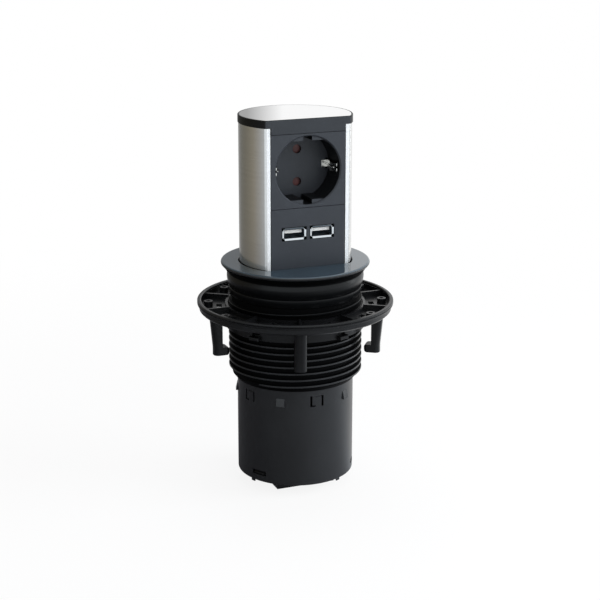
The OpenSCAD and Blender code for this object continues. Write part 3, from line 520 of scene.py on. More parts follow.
def planRadius(azimuth, proud):
    # distance from the axis to the plan's outline, drawn out by proud
    x, y = sin(azimuth), cos(azimuth)
    flat = plan["flat"] + proud
    side = abs(x)
    if y > 0 and side * flat / y <= cornerX:
        return flat / y
    if atan2(side, y) < atan2(cornerX, cornerY):
        centre = Vector((cornerX, cornerY))
        along = side * centre.x + y * centre.y
        return along + sqrt(along ** 2 - centre.length_squared + (plan["corner"] + proud) ** 2)
    return plan["radius"] + proud


# each mark has the number of steps up to the next
planMarks = [
    (0, 16), (atan2(plan["window"] / 2, plan["flat"]), 2), (atan2(cornerX, plan["flat"]), 8),
    (atan2(cornerX, cornerY), 60), (pi, 0),
]
planHalf = [low + (high - low) * i / steps
    for (low, steps), (high, _) in zip(planMarks, planMarks[1:]) for i in range(steps)]
planAzimuths = planHalf + [pi] + [2 * pi - angle for angle in reversed(planHalf[1:])]
roundSteps = 192
roundAzimuths = [2 * pi * i / roundSteps for i in range(roundSteps)]


def drawnOut(name, stations, azimuths, closing):
    # a ring of edges is extruded from station to station and set on its outline.
    # A station is ("round", radius, height) or ("plan", proud, height). The two ends are
    # joined by a bridge, filled, or left open
    bpy.ops.mesh.primitive_circle_add(vertices=len(azimuths), radius=10 * mm)
    piece = settled(name)
    layer = piece.data.attributes.new("ray", "FLOAT", "POINT")
    for index, azimuth in enumerate(azimuths):
        layer.data[index].value = azimuth
    editAll(piece)
    bpy.ops.mesh.select_mode(type="VERT")
    for number, (kind, size, height) in enumerate(stations):
        if number:
            bpy.ops.mesh.extrude_edges_move()
        mesh = bmesh.from_edit_mesh(piece.data)
        ray = mesh.verts.layers.float["ray"]
        for corner in mesh.verts:
            if corner.select:
                angle = corner[ray]
                reach = size if kind == "round" else planRadius(angle, size)
                corner.co = Vector((reach * sin(angle), -reach * cos(angle), height)) * mm
        bmesh.update_edit_mesh(piece.data)
    if closing:
        bpy.ops.mesh.select_all(action="DESELECT")
        mesh = bmesh.from_edit_mesh(piece.data)
        for edge in mesh.edges:
            if edge.is_boundary:
                edge.select_set(True)
        bmesh.update_edit_mesh(piece.data)
    if closing == "bridge":
        bpy.ops.mesh.select_mode(type="EDGE")
        bpy.ops.mesh.bridge_edge_loops()
    elif closing == "fill":
        bpy.ops.mesh.fill_holes(sides=0)
    leave()
    piece.data.attributes.remove(piece.data.attributes["ray"])
    return clean(piece)


def turned(name, profile):
    return drawnOut(name, [("round", *point) for point in profile], roundAzimuths, "bridge")


def swung(name, start, outline, angle, steps, rise=0, laps=1):
    # a closed outline of radii and heights stands at the start and is swung about the axis
    bpy.ops.mesh.primitive_circle_add(vertices=len(outline), radius=1 * mm)
    piece = settled(name)
    for corner, (reach, height) in zip(piece.data.vertices, outline):
        corner.co = Vector((reach * cos(start), reach * sin(start), height)) * mm
    apply(piece, "SCREW", axis="Z", angle=angle, screw_offset=rise * mm, iterations=laps,
        steps=steps, render_steps=steps)
    return piece


def arc(centre, radius, start, end, steps):
    # points of an arc in the radius and height plane
    angles = [radians(start + (end - start) * i / steps) for i in range(steps + 1)]
    return [(centre[0] + radius * cos(angle), centre[1] + radius * sin(angle)) for angle in angles]


# Cover ring

coverRing = dict(
    radius=43.5, height=2.4, edge=1.15, plate=2.5, underIn=1, coneRadius=40.4, coneDepth=3.1,
    grooveRadius=39.2, grooveDepth=4.1,
    # how far the neck's shoulder draws in at its top and at its foot, and its height
    shoulder=(0.7, 0.2, 0.8), neckRadius=40.1, neckDepth=12.5, belly=-6.4, waist=1.45, bore=34.4,
    holeGap=0.7, holeEdge=0.2, flatEdge=0.1, rimEdge=0.15, bevel=(0.12, 50),
    # each finish covers what lies below its height; the two darkest are painted shade under the
    # ring's edge and down its neck
    lowerFinishes=(("blackPlastic", 1.8), ("paintedGrooveShade", -0.3), ("paintedNeckShade", -4.15)),
)


def belly(radius, middle, low, waist, steps=8):
    # a wall that is widest at its middle height and draws in by the waist towards its foot
    heights = [middle + (low - middle) * i / steps for i in range(steps + 1)]
    return [(radius - waist * ((z - middle) / (low - middle)) ** 2, z) for z in heights]


def makeCoverRing(size):
    top, edge, neck, gap = size["height"], size["edge"], size["neckRadius"], size["holeGap"]
    cone, groove, foot = -size["coneDepth"], -size["grooveDepth"], -size["neckDepth"]
    drawnTop, drawnFoot, drop = size["shoulder"]
    outline = arc((size["radius"] - edge, top - edge), edge, 90, -60, 10) + [
        (size["radius"] - size["underIn"], 0), (size["coneRadius"], cone),
        (size["grooveRadius"], cone), (size["grooveRadius"], groove),
        (neck - drawnTop, groove), (neck - drawnFoot, groove - drop),
        *belly(neck, size["belly"], foot, size["waist"]),
        (size["bore"], foot), (size["bore"], -size["plate"])]
    ring = drawnOut("coverRing", [
        ("plan", gap + size["holeEdge"], top),
        ("plan", gap + size["holeEdge"] + size["flatEdge"], top),
        ("round", size["radius"] - edge - size["rimEdge"], top),
        *[("round", *point) for point in outline],
        ("plan", gap, -size["plate"]), ("plan", gap, top - size["holeEdge"]),
    ], planAzimuths, "bridge")
    soften(ring, *size["bevel"])
    dress(ring, 40, "housing", "glossBlack", "gloss_black", "cover_ring")
    # lower down, the ring turns darker; the two darkest finishes are painted shade
    for finish, height in size["lowerFinishes"]:
        secondFinish(ring, finish, lambda middle, normal: middle.z < height)


makeCoverRing(coverRing)

# Threaded sleeve

nut = dict(
    rim=57.6, rimWidth=2.4, rimTop=-22.7, wall=56.4, fillet=0.8, underIn=2, flange=-23.7,
    beadPlace=(0.55, 0.5), beadRadius=0.62, tray=-25.5, under=-27.3, skirtIn=39.75, skirtOut=41.2,
    skirtFoot=-36.4, collarTop=-23.3, ribTop=-22.4, ribWidth=1.4, ribSunk=(0.4, 0.5, 0.3),
    bossRadius=51, hole=1.3, bossWall=1.3,
    # where a cutter starts and ends, measured outwards from the skirt
    slotWidth=6.4, slotReach=(5.2, 2), slotHeight=8, windowWidth=5.4, windowReach=(2.9, -2.9),
    windowTop=-30.1, windowFoot=-34.5, openingX=2.3, openingWidth=2.6, openingReach=(4, 0.8),
    openingHeight=5, blockWidth=6.2, blockProud=3, blockRise=0.3, blockRound=0.5, wings=5,
    legWidth=7, legDepth=6.6, legFoot=-50.5, legOut=53, legLean=2.4, legSunk=0.9,
    legRound=2.7, toe=41.9, toeHeight=4.7, toeRound=2, toothAngle=24, toothHeight=2.2,
    toothRise=2.4, toothSunk=0.2, toothGap=0.5, toothTaper=0.5, toothBevel=(0.15, 35),
    bevel=(0.22, 40), bossSides=40, holeSides=32,
)
threaded = dict(
    root=37.2, crest=39.3, pitch=3.88, turns=12, start=-84, low=-64.29, foot=-65.14, base=1.62,
    sunk=0.4, tip=0.62, tipGap=0.1, tipAngle=68, round=0.34, fade=0.12, stump=0.1, lapSteps=120,
    grooveDepth=0.5, band=39, bandTop=-12.5, bandFoot=-17.2, belly=0.4, waist=1, top=-17.6,
    bore=34.5, end=-67.54, endRadius=35.2, bevel=(0.15, 30),
)


def makeThread(size):
    # the ridge's rounded profile starts inside the tube's wall and is wound up
    root, radius, fade = size["root"] - size["sunk"], size["round"], size["fade"]
    centre, rise = size["crest"] - radius, size["tip"] / 2 - size["tipGap"]
    profile = [
        (root, -size["base"] / 2), *arc((centre, -rise), radius, -size["tipAngle"], 0, 4),
        *arc((centre, rise), radius, 0, size["tipAngle"], 4), (root, size["base"] / 2)]
    turn = radians(size["start"] - 90)
    ridge = swung("threadRidge", turn, [(reach, size["low"] + height) for reach, height in profile],
        2 * pi, size["lapSteps"], size["pitch"], size["turns"])
    # both ends fade into the tube
    stump = root + size["stump"]
    for corner in ridge.data.vertices:
        x, y, z = corner.co / mm
        share = ((degrees(atan2(y, x)) - degrees(turn)) / 360) % 1.0
        laps = (z - size["low"]) / size["pitch"]
        laps = share + round(laps - share)
        high = max(0.0, min(1.0, laps / fade, (size["turns"] - laps) / fade))
        high = high * high * (3 - 2 * high)
        reach = hypot(x, y)
        if reach > root + 0.01:
            grown = stump + (reach - stump) * high
            corner.co.x *= grown / reach
            corner.co.y *= grown / reach
    return closeEnds(ridge)


def makeThreadedSleeve(size):
    root, band, bandTop, bore = size["root"], size["band"], size["bandTop"], size["bore"]
    wall = belly(band, bandTop - size["belly"], size["bandFoot"], size["waist"])
    tube = turned("threadedSleeve", [
        (root, size["top"]), *reversed(wall), (band, bandTop), (bore, bandTop),
        (bore, size["end"]), (size["endRadius"], size["end"]), (root, size["foot"])])
    soften(tube, *size["bevel"])
    sleeve = joined([tube, makeThread(size)])
    dress(sleeve, 38, "housing", "ridgePlastic", "black_plastic", "threaded_sleeve")
    groove = size["crest"] - size["grooveDepth"]
    # painted shade: the band and the ridges inside the nut's tray take a near-black finish
    secondFinish(sleeve, "paintedNeckShade", lambda middle, normal: middle.z > nut["tray"])
    # painted shade: between the crests, below the band, the surface takes a near-black finish
    secondFinish(sleeve, "paintedGrooveShade", lambda middle, normal: middle.z < size["bandFoot"]
        and hypot(middle.x, middle.y) < groove)


makeThreadedSleeve(threaded)

# Can under the thread

can = dict(
    radius=34.3, bore=33, top=-2.6, foot=-125.8, joint=-74.3, count=5,
    # how far the lower edge draws in, at which heights over the foot
    edge=((0, 0.7), (0.15, 0.25), (0.5, 0)), bevel=(0.14, 40), through=3, tongueWidth=5.7,
    tongueHeight=6.5, cut=1.25, hingeLength=3.3, hingeCut=0.8, lipStart=1.4, lipDepth=0.45,
    lipHeight=0.6, lipGap=0.02, noseWidth=5, noseProud=1.2, noseSunk=0.4, noseDrop=3, noseRise=2,
    noseLean=1.1, noseBevel=(0.3, 30), slotHeight=2.8, slotWidth=10, slotDepth=-120.5,
    slots=(-60, 60, 180), feet=(-69, 27, 111, 207), footAngle=5, footDrop=1.4, footSunk=0.2,
    footWall=(0.1, 0.6), footBevel=(0.12, 35),
)


def sectorBlock(name, azimuth, angle, inner, outer, low, high, steps=6):
    # a short piece of a tube
    start = radians(azimuth - angle / 2 - 90)
    outline = [(inner, low), (outer, low), (outer, high), (inner, high)]
    return closeEnds(swung(name, start, outline, radians(angle), steps))


def makeCan(size):
    radius, bore, foot, joint = size["radius"], size["bore"], size["foot"], size["joint"]
    body = turned("lowerCan", [
        (bore, size["top"]), (radius, size["top"]),
        *[(radius - inset, foot + height) for inset, height in size["edge"]], (bore, foot)])

    def slot(left, right, low, high, inside=-bore + size["through"]):
        return block("slot", (left, -radius - size["through"], low), (right, inside, high))

    turn = 360 / size["count"]
    half, cutWidth = size["tongueWidth"] / 2, size["cut"]
    low, high = joint - size["tongueHeight"] / 2, joint + size["tongueHeight"] / 2
    slots = fuse(
        slot(-half - cutWidth, -half, low, high), slot(half, half + cutWidth, low, high),
        slot(-half - cutWidth, -half - cutWidth + size["hingeLength"], low, low + size["hingeCut"]),
        slot(-half + size["lipStart"], half + cutWidth / 2, high - size["lipHeight"],
            high - size["lipGap"], -radius + size["lipDepth"]))
    cut(body, around(slots, [turn * k for k in range(size["count"])]))
    half, rise = size["slotWidth"] / 2, size["slotHeight"] / 2
    latch = slot(-half, half, size["slotDepth"] - rise, size["slotDepth"] + rise)
    cut(body, around(latch, size["slots"]))
    soften(body, *size["bevel"])
    half = size["noseWidth"] / 2
    nose = block("nose", (-half, -radius - size["noseProud"], joint - size["noseDrop"]),
        (half, -bore - size["noseSunk"], joint + size["noseRise"]))
    # its face leans back, so that it catches the light from above
    move(nose, (0, size["noseLean"], 0), lambda place: place.y < -radius and place.z > joint)
    soften(nose, *size["noseBevel"])
    noses = around(nose, [turn * (k + 0.5) for k in range(size["count"])])
    inner, outer = bore + size["footWall"][0], radius - size["footWall"][1]
    low, high = foot - size["footDrop"], foot + size["footSunk"]
    feet = [sectorBlock("foot", azimuth, size["footAngle"], inner, outer, low, high)
        for azimuth in size["feet"]]
    for piece in feet:
        soften(piece, *size["footBevel"])
    whole = joined([body, noses] + feet)
    dress(whole, 38, "housing", "blackPlastic", "black_plastic", "lower_can")


makeCan(can)

# Wing nut and its clamping ring

clampRing = dict(outer=57.6, inner=55.2, top=-21.1, foot=-22.4, edge=0.7, bevel=(0.1, 60))


def makeLeg(size):
    # upright drawn down from the tray, then its toe drawn out towards the thread
    face, under, foot = -size["legOut"], size["under"], size["legFoot"]
    half, back = size["legWidth"] / 2, -size["legOut"] + size["legDepth"]
    ankle = foot + size["toeHeight"]
    lean = size["legLean"] * (under - ankle) / (under - foot)
    leg = block("leg", (-half, face, ankle), (half, back, under + size["legSunk"]))
    move(leg, (0, lean, 0), lambda place: place.z < ankle + slack and place.y < face + slack)
    extrude(leg, (0, 0, foot - ankle), lambda middle, normal: normal.z < -facing)
    extrude(leg, (0, -size["toe"] - back, 0),
        lambda middle, normal: normal.y > facing and middle.z < ankle)
    # the outer face is rounded over its whole width
    roundOff(leg, size["legRound"], 6, lambda a, b: max(a.y, b.y) < back - size["legRound"] + slack
        and abs(a.x - b.x) < slack and abs(a.z - b.z) > 1)
    # the toe is a peg with a rounded end
    roundOff(leg, size["toeRound"], 6, lambda a, b: min(a.y, b.y) > back + slack
        and max(a.z, b.z) < ankle + slack and (a - b).length > 3)
    return leg


def makeNut(size):
    rim, wall, under, tray = size["rim"], size["wall"], size["under"], size["tray"]
    skirtIn, skirt, foot = size["skirtIn"], size["skirtOut"], size["skirtFoot"]
    inner, fillet, ribTop = rim - size["rimWidth"], size["fillet"], size["ribTop"]
    beadOut, beadUp = size["beadPlace"]
    body = turned("wingNut", [
        (skirtIn, foot), (skirt, foot), (skirt, under - fillet), (skirt + fillet, under),
        (rim - size["underIn"], under), (wall, under + fillet), (wall, size["flange"]),
        *arc((wall + beadOut, size["flange"] + beadUp), size["beadRadius"], -90, 0, 4),
        (rim, size["rimTop"]), (inner, size["rimTop"]), (inner, tray), (skirt, tray),
        (skirt, size["collarTop"]), (skirtIn, size["collarTop"])])
    turn = 360 / size["wings"]
    legs = [turn * (k - 0.25) for k in range(size["wings"])]
    windows = [angle + turn / 2 for angle in legs]
    tens = [turn * k / 2 for k in range(2 * size["wings"])]
    outSunk, downSunk, inSunk = size["ribSunk"]
    half, boss = size["ribWidth"] / 2, size["bossRadius"]
    rib = block("rib", (-half, -inner - outSunk, tray - downSunk), (half, -skirt + inSunk, ribTop))
    post = rod("boss", (0, -boss, tray - downSunk), (0, -boss, ribTop),
        size["hole"] + size["bossWall"], size["bossSides"])
    half, face = size["blockWidth"] / 2, -skirt - size["blockProud"]
    stop = block("stop", (-half, face, foot),
        (half, -skirtIn - outSunk, size["windowFoot"] + size["blockRise"]))
    roundOff(stop, size["blockRound"], 3, lambda a, b: max(a.y, b.y) < face + slack)
    fuse(body, around(rib, [angle - turn / 4 for angle in tens]), around(post, tens),
        around(makeLeg(size), legs), around(stop, windows))

    def cutter(name, x, low, high):
        half, (far, near) = size[name + "Width"] / 2, size[name + "Reach"]
        return block(name, (x - half, -skirt - far, low), (x + half, -skirt - near, high))

    hole = rod("hole", (0, -boss, under - over), (0, -boss, ribTop + over), size["hole"],
        size["holeSides"])
    rise = size["slotHeight"] / 2
    cut(body, around(hole, tens), around(cutter("slot", 0, tray - rise, tray + rise), tens),
        around(cutter("window", 0, size["windowFoot"], size["windowTop"]), windows))
    rise = size["openingHeight"] / 2
    for side in (-1, 1):
        opening = cutter("opening", side * size["openingX"], under - rise, under + rise)
        cut(body, around(opening, legs))
    teeth = [makeTooth(azimuth, size) for azimuth in windows]
    flatten(body)
    soften(body, *size["bevel"])
    whole = joined([body] + teeth)
    dress(whole, 35, "nut", "nutPlastic", "black_plastic", "wing_nut")


def makeTooth(azimuth, size):
    # it stands in the groove of the thread, at the lap that is nearest to the skirt's foot
    wanted = size["skirtFoot"] + size["toothRise"]
    middle = threaded["low"] + threaded["pitch"] * ((azimuth - threaded["start"]) / 360 + 0.5)
    middle += threaded["pitch"] * round((wanted - middle) / threaded["pitch"])
    half, gap = size["toothHeight"] / 2, size["toothGap"]
    tooth = sectorBlock("tooth", azimuth, size["toothAngle"], threaded["root"] + gap,
        size["skirtIn"] + size["toothSunk"], middle - half, middle + half, 8)
    choose(tooth, "VERT", lambda place: hypot(place.x, place.y) < size["skirtIn"] - gap)
    bpy.ops.transform.resize(value=(1, 1, size["toothTaper"]), center_override=(0, 0, middle * mm))
    leave()
    return soften(tooth, *size["toothBevel"])


def makeClampRing(size):
    outer, inner, top, edge = size["outer"], size["inner"], size["top"], size["edge"]
    ring = turned("clampRing", [
        (inner, size["foot"]), (outer, size["foot"]),
        *arc((outer - edge, top - edge), edge, 0, 90, 8),
        *arc((inner + edge, top - edge), edge, 90, 180, 8)])
    soften(ring, *size["bevel"])
    dress(ring, 50, "friction_ring", "nutPlastic", "black_plastic", "clamp_ring")


makeNut(nut)
makeClampRing(clampRing)

# Tower skin: metal sleeve, cap and plate

sleeve = dict(foot=-17, top=83.5, wall=1, strip=0.3, bevel=(0.12, 45))
cap = dict(
    rim=4.5, top=88, proud=0.4, border=0.9, plate=0.8, plateGap=0.05, edge=0.45, lipEdge=0.1,
    footEdge=0.15, apronFoot=79.75, panelX=22.5, panelDepth=2.6, bevel=(0.12, 50),
)


def makeSleeve(size):
    skin = drawnOut("towerSleeve", [("plan", 0, size["foot"]), ("plan", 0, size["top"])],
        planAzimuths, None)
    openUp(skin, lambda middle, normal: middle.y < -plan["flat"] + 0.01
        and abs(middle.x) < plan["window"] / 2)
    clean(skin)
    # the wall grows inwards
    apply(skin, "SOLIDIFY", thickness=size["wall"] * mm, offset=-1, use_even_offset=True)
    soften(skin, *size["bevel"])
    dress(skin, 30, "tower", "brushedSleeve", "brushed_sleeve", "tower_sleeve")
    # painted highlight: the flat strips at the front take a lighter, half-metallic finish that the
    # lamps light up
    secondFinish(skin, "paintedStripHighlight", lambda middle, normal: normal.y < -0.98
        and middle.y < -plan["flat"] + size["strip"])


def makeCap(size):
    top, proud, edge = size["top"], size["proud"], size["edge"]
    lip, foot = proud - size["border"], top - size["rim"]
    shoulder = [("plan", *point) for point in arc((proud - edge, top - edge), edge, 90, 0, 6)]
    body = drawnOut("cap", [
        ("plan", lip, top - size["plate"]), ("plan", lip, top - size["lipEdge"]),
        ("plan", lip + size["lipEdge"], top), *shoulder,
        ("plan", proud, foot + size["footEdge"]), ("plan", proud - size["footEdge"], foot),
    ], planAzimuths, "fill")
    fuse(body, block("apron", (-size["panelX"], -plan["flat"] - proud, size["apronFoot"]),
        (size["panelX"], -plan["flat"] + size["panelDepth"], foot + over)))
    soften(body, *size["bevel"])
    dress(body, 35, "tower", "capPlastic", "black_plastic", "cap")
    secondFinish(body, "rimBlack", lambda middle, normal: normal.y > -facing)


def makeCapPlate(size):
    reach = size["proud"] - size["border"] - size["plateGap"]
    top, edge = size["top"], size["lipEdge"]
    plate = drawnOut("capPlate", [
        ("plan", reach, top - size["plate"]), ("plan", reach, top - edge),
        ("plan", reach - edge, top)], planAzimuths, "fill")
    dress(plate, 35, "tower", "brushedPlate", "brushed_plate", "cap_plate")


makeSleeve(sleeve)
makeCap(cap)
makeCapPlate(cap)

# Socket panel and port panel

socket = dict(
    z=58.3, recess=19.6, front=-20.2, panelBack=-17.6, floor=-2.7, floorBack=-0.7, cup=20.9,
    panelX=22.5, foot=37.25, top=79.45, keyChord=16.9, keyStart=-19, keyWidth=60, keyHeight=10,
    grooveWidth=5.4, grooveHeight=8, pinSpacing=19, pinHole=2.65, mouth=0.7, bossX=18.4,
    bossZ=17.6, boss=2.7, bossProud=0.1, clipX=18.4, clipSlot=(1.7, 6.4), recessEdge=0.4,
    bevel=(0.16, 35), roundSides=128, bossSides=32, pinSides=48,
)
ports = dict(
    z=22.4, spacing=17, width=14.9, height=7.6, gap=0.1, foot=-16.9, top=36.95, shellWidth=13.1,
    shellHeight=5.7, shellDepth=14, shellFront=-19.7, shellWall=0.35, shellCorner=0.8,
    lipOut=0.25, lipGap=0.12, bevel=(0.16, 35), shellBevel=(0.07, 40),
)


def makeSocketFace(size):
    z, front, back, floor = size["z"], size["front"], size["floorBack"], size["floor"]
    recess, mouth, panelBack = size["recess"], size["mouth"], size["panelBack"]
    face = block("socketFace", (-size["panelX"], front, size["foot"]),
        (size["panelX"], panelBack, size["top"]))
    inside, sides = panelBack - over, size["roundSides"]
    fuse(face, rod("cup", (0, inside, z), (0, back, z), size["cup"], sides))
    bossBack = back - size["bossProud"]
    for x in (-size["bossX"], size["bossX"]):
        for up in (z - size["bossZ"], z + size["bossZ"]):
            fuse(face, rod("boss", (x, inside, up), (x, bossBack, up), size["boss"],
                size["bossSides"]))
    room = rod("room", (0, front - over, z), (0, floor, z), recess, sides)
    half, rise, wide = size["grooveWidth"] / 2, size["grooveHeight"] / 2, size["keyWidth"] / 2
    for side in (-1, 1):
        chord = z + side * size["keyChord"]
        low, high = sorted((chord, chord + side * size["keyHeight"]))
        key = block("key", (-wide, size["keyStart"], low), (wide, floor + over, high))
        cut(key, block("groove", (-half, front, chord - rise), (half, -front, chord + rise)))
        cut(room, key)
    cut(face, room)
    cut(face, rod("mouth", (0, front - slack, z), (0, front + mouth, z), recess + mouth + slack,
        sides, recess - 0.02))
    half, rise = size["clipSlot"][0] / 2, size["clipSlot"][1] / 2
    for side in (-1, 1):
        x, pin = side * size["clipX"], z + side * size["pinSpacing"] / 2
        low, high = floor - over, back + over
        cut(face, rod("pin", (0, low, pin), (0, high, pin), size["pinHole"], size["pinSides"]))
        cut(face, block("slot", (x - half, low, z - rise), (x + half, high, z + rise)))
    flatten(face)
    soften(face, *size["bevel"])
    dress(face, 30, "tower", "panelPlastic", "dark_panel", "socket_face")
    # painted shade: the walls of the recess take a near-black finish
    edge = size["recessEdge"]
    secondFinish(face, "paintedRecessShade", lambda middle, normal: abs(normal.y) < 0.5
        and front + edge < middle.y < floor - edge
        and hypot(middle.x, middle.z - z) < recess + slack)


def makePortPanel(size):
    front = socket["front"]
    panel = block("portPanel", (-socket["panelX"], front, size["foot"]),
        (socket["panelX"], socket["panelBack"], size["top"]))
    wide, tall, z = size["width"] / 2 + size["gap"], size["height"] / 2 + size["gap"], size["z"]
    for x in (-size["spacing"] / 2, size["spacing"] / 2):
        cut(panel, block("port", (x - wide, front - over, z - tall), (x + wide, 0, z + tall)))
    soften(panel, *size["bevel"])
    dress(panel, 30, "tower", "panelPlastic", "dark_panel", "usb_panel")


def makePortShell(name, node, x, size):
    # a folded box, open at the front, with four flared lips that leave the corners open
    z, front, back = size["z"], size["shellFront"], size["shellFront"] + size["shellDepth"]
    wide, tall = size["shellWidth"] / 2, size["shellHeight"] / 2
    shell = block(name, (x - wide, front, z - tall), (x + wide, back, z + tall))
    long = size["shellDepth"] - slack
    roundOff(shell, size["shellCorner"], 4, lambda a, b: abs(a.y - b.y) > long)
    openUp(shell, lambda middle, normal: normal.y < -facing)
    choose(shell, "EDGE", lambda a, b: max(a.y, b.y) < front + slack and (a - b).length > 2)
    bpy.ops.mesh.extrude_edges_move(
        TRANSFORM_OT_translate={"value": metres((0, -size["lipOut"], 0))})
    growX = (size["width"] / 2 - size["lipGap"]) / wide
    growZ = (size["height"] / 2 - size["lipGap"]) / tall
    mesh = bmesh.from_edit_mesh(shell.data)
    for corner in mesh.verts:
        if corner.select:
            place = corner.co / mm
            if abs(abs(place.z - z) - tall) < 0.01:
                corner.co.z = (z + (place.z - z) * growZ) * mm
            else:
                corner.co.x = (x + (place.x - x) * growX) * mm
    bmesh.update_edit_mesh(shell.data)
    leave()
    apply(shell, "SOLIDIFY", thickness=size["shellWall"] * mm, offset=-1)
    soften(shell, *size["shellBevel"])
    dress(shell, 40, "tower", "shellNickel", "nickel", node)
    # painted shade: the shell's inner faces take a darker, duller finish
    secondFinish(shell, "paintedShellShade", lambda middle, normal: middle.y > front + size["shellWall"]
        and normal.x * (middle.x - x) + normal.z * (middle.z - z) < 0)


clip = dict(
    high=4.8, thick=0.5, floor=-3.1, footX=(15.1, 18.3), footIn=0.4, fingerGap=1.1, middleGap=0.2,
    strap=3.2, strapX=18.5, strapHeight=6, bevel=(0.1, 20),
    # points of the strip seen from above: from the floor out to its lip at the front
    middle=((18.05, 3.3), (18.05, -6.5), (14.9, -12), (14.7, -13.2), (16.8, -16.6)),
    finger=((18.05, 3.3), (18.05, -7.5), (16.3, -12.4), (16.4, -14), (18.2, -17.8)),
)


def strip(name, line, thick, low, high):
    # a bent strip: its edge is drawn as a closed outline and raised
    inner = [Vector(point) for point in line]
    outer = [point + Vector((thick, 0)) for point in reversed(inner)]
    bpy.ops.mesh.primitive_circle_add(vertices=2 * len(line), radius=1 * mm, fill_type="NGON")
    piece = settled(name)
    for corner, place in zip(piece.data.vertices, inner + outer):
        corner.co = Vector((place.x, place.y, low)) * mm
    extrude(piece, (0, 0, high - low), lambda middle, normal: True)
    return clean(piece)


def makeEarthClip(size):
    z, half, gap, thick = socket["z"], size["high"] / 2, size["fingerGap"] / 2, size["thick"]
    inner, outer = size["footX"]
    low, high = z - half + size["footIn"], z + half - size["footIn"]
    middle = gap - size["middleGap"]
    parts = [
        strip("clipMiddle", size["middle"], thick, z - middle, z + middle),
        strip("clipFinger", size["finger"], thick, z + gap, z + half),
        strip("clipFinger", size["finger"], thick, z - half, z - gap),
        block("clipFoot", (inner, size["floor"], low), (outer, size["floor"] + thick, high)),
    ]
    for part in parts:
        soften(part, *size["bevel"])
    right = joined(parts)
    pick(right)
    bpy.ops.object.duplicate()
    left = bpy.context.object
    bpy.ops.transform.mirror(constraint_axis=(True, False, False), center_override=(0, 0, 0))
    bpy.ops.object.transform_apply()
    clean(left)
    strap, reach, half = size["strap"], size["strapX"], size["strapHeight"] / 2
    bar = block("clipBar", (-reach, strap, z - half), (reach, strap + thick, z + half))
    whole = joined([right, left, bar])
    dress(whole, 40, "tower", "nickel", "nickel", "earth_clip")


makeSocketFace(socket)
makeEarthClip(clip)
makePortPanel(ports)
makePortShell("portShellLeft", "usb_shell_left", -ports["spacing"] / 2, ports)
makePortShell("portShellRight", "usb_shell_right", ports["spacing"] / 2, ports)

# Lift spring and internal lead; in the real thing they fold up with the tower, here each gets a
# mesh of its own

spring = dict(radius=18.5, thick=1.6, foot=-122.35, top=-21.75, turns=8, ease=0, start=0, steps=384)
lead = dict(radius=9, thick=3, foot=-112.2, top=-7, turns=6, ease=1, start=-90, steps=240)


def makeCoil(name, size, *look):
    # with an ease of 1 the turns stand closest at the middle, and both ends run out straight
    curve = bpy.data.curves.new(name, "CURVE")
    curve.dimensions = "3D"
    curve.bevel_depth = size["thick"] / 2 * mm
    curve.bevel_resolution = 4
    curve.use_fill_caps = True
    line = curve.splines.new("POLY")
    line.points.add(size["steps"])
    full = 2 * pi
    for i, knot in enumerate(line.points):
        share = i / size["steps"]
        turn = radians(size["start"]) + full * size["turns"] * (
            share - size["ease"] * sin(full * share) / full)
        place = (size["radius"] * cos(turn), size["radius"] * sin(turn),
            size["foot"] + (size["top"] - size["foot"]) * share)
        knot.co = (*metres(place), 1)
    piece = bpy.data.objects.new(name, curve)
    scene.collection.objects.link(piece)
    pick(piece)
    bpy.ops.object.convert(target="MESH")
    piece = clean(bpy.context.object)
    dress(piece, 60, "housing", *look, weighted=False)
    return piece


piece = makeCoil("liftSpring", spring, "springWire", "spring_wire", "lift_spring")
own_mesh(piece)
piece = makeCoil("internalLead", lead, "leadJacket", "lead_jacket", "internal_lead")
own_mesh(piece)

# Carried-over nodes keep their shape and take a finish

nodeFinishes = {
    "blackPlastic": ("inlet_block", "carriage", "damper_body", "chassis", "socket_back"),
    # painted shade: the bottom cover takes the darkest black, so the slots where it shows look
    # shaded
    "nutPlastic": ("bottom_cover",),
    "nickel": ("inlet_pins",),
    "acetal": ("damper_rack", "damper_pinion", "latch_hook", "latch_striker", "guide_shoes"),
    "zinc": ("latch_bracket", "latch_pin", "carriage_screws", "socket_screws"),
    "bumperRubber": ("stop_bumper", "lead_gland"),
    "shutterRed": ("shutter",),
    "springWire": ("shutter_spring",),
    "contactBrass": ("line_contact", "neutral_contact"),
    "tongueWhite": ("usb_tongues",),
    "boardGreen": ("charger_board",),
    "winding": ("transformer",),
    "canSleeve": ("capacitors",),
}


def dressNode(node, finish):
    node.data.materials.clear()
    node.data.materials.append(finish)
    for slot in node.material_slots:
        slot.material = finish


for finish, names in nodeFinishes.items():
    for name in names:
        dressNode(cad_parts[name], finishes[finish])
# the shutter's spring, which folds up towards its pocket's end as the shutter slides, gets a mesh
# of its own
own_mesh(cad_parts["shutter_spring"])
print("carried-over nodes dressed:", sum(map(len, nodeFinishes.values())))

# Floor, light and background

stage = dict(
    floor=-133.05, reach=12, near=0.44, far=0.6, plain=0.42,
    tints=((0.8, 0.8, 0.81), (0.84, 0.84, 0.85)), grainScale=8,
    # the camera sees mostly plain white, and the least of it near the object
    bareNear=0.16, bareFar=0.6, bareLeast=0.88,
)
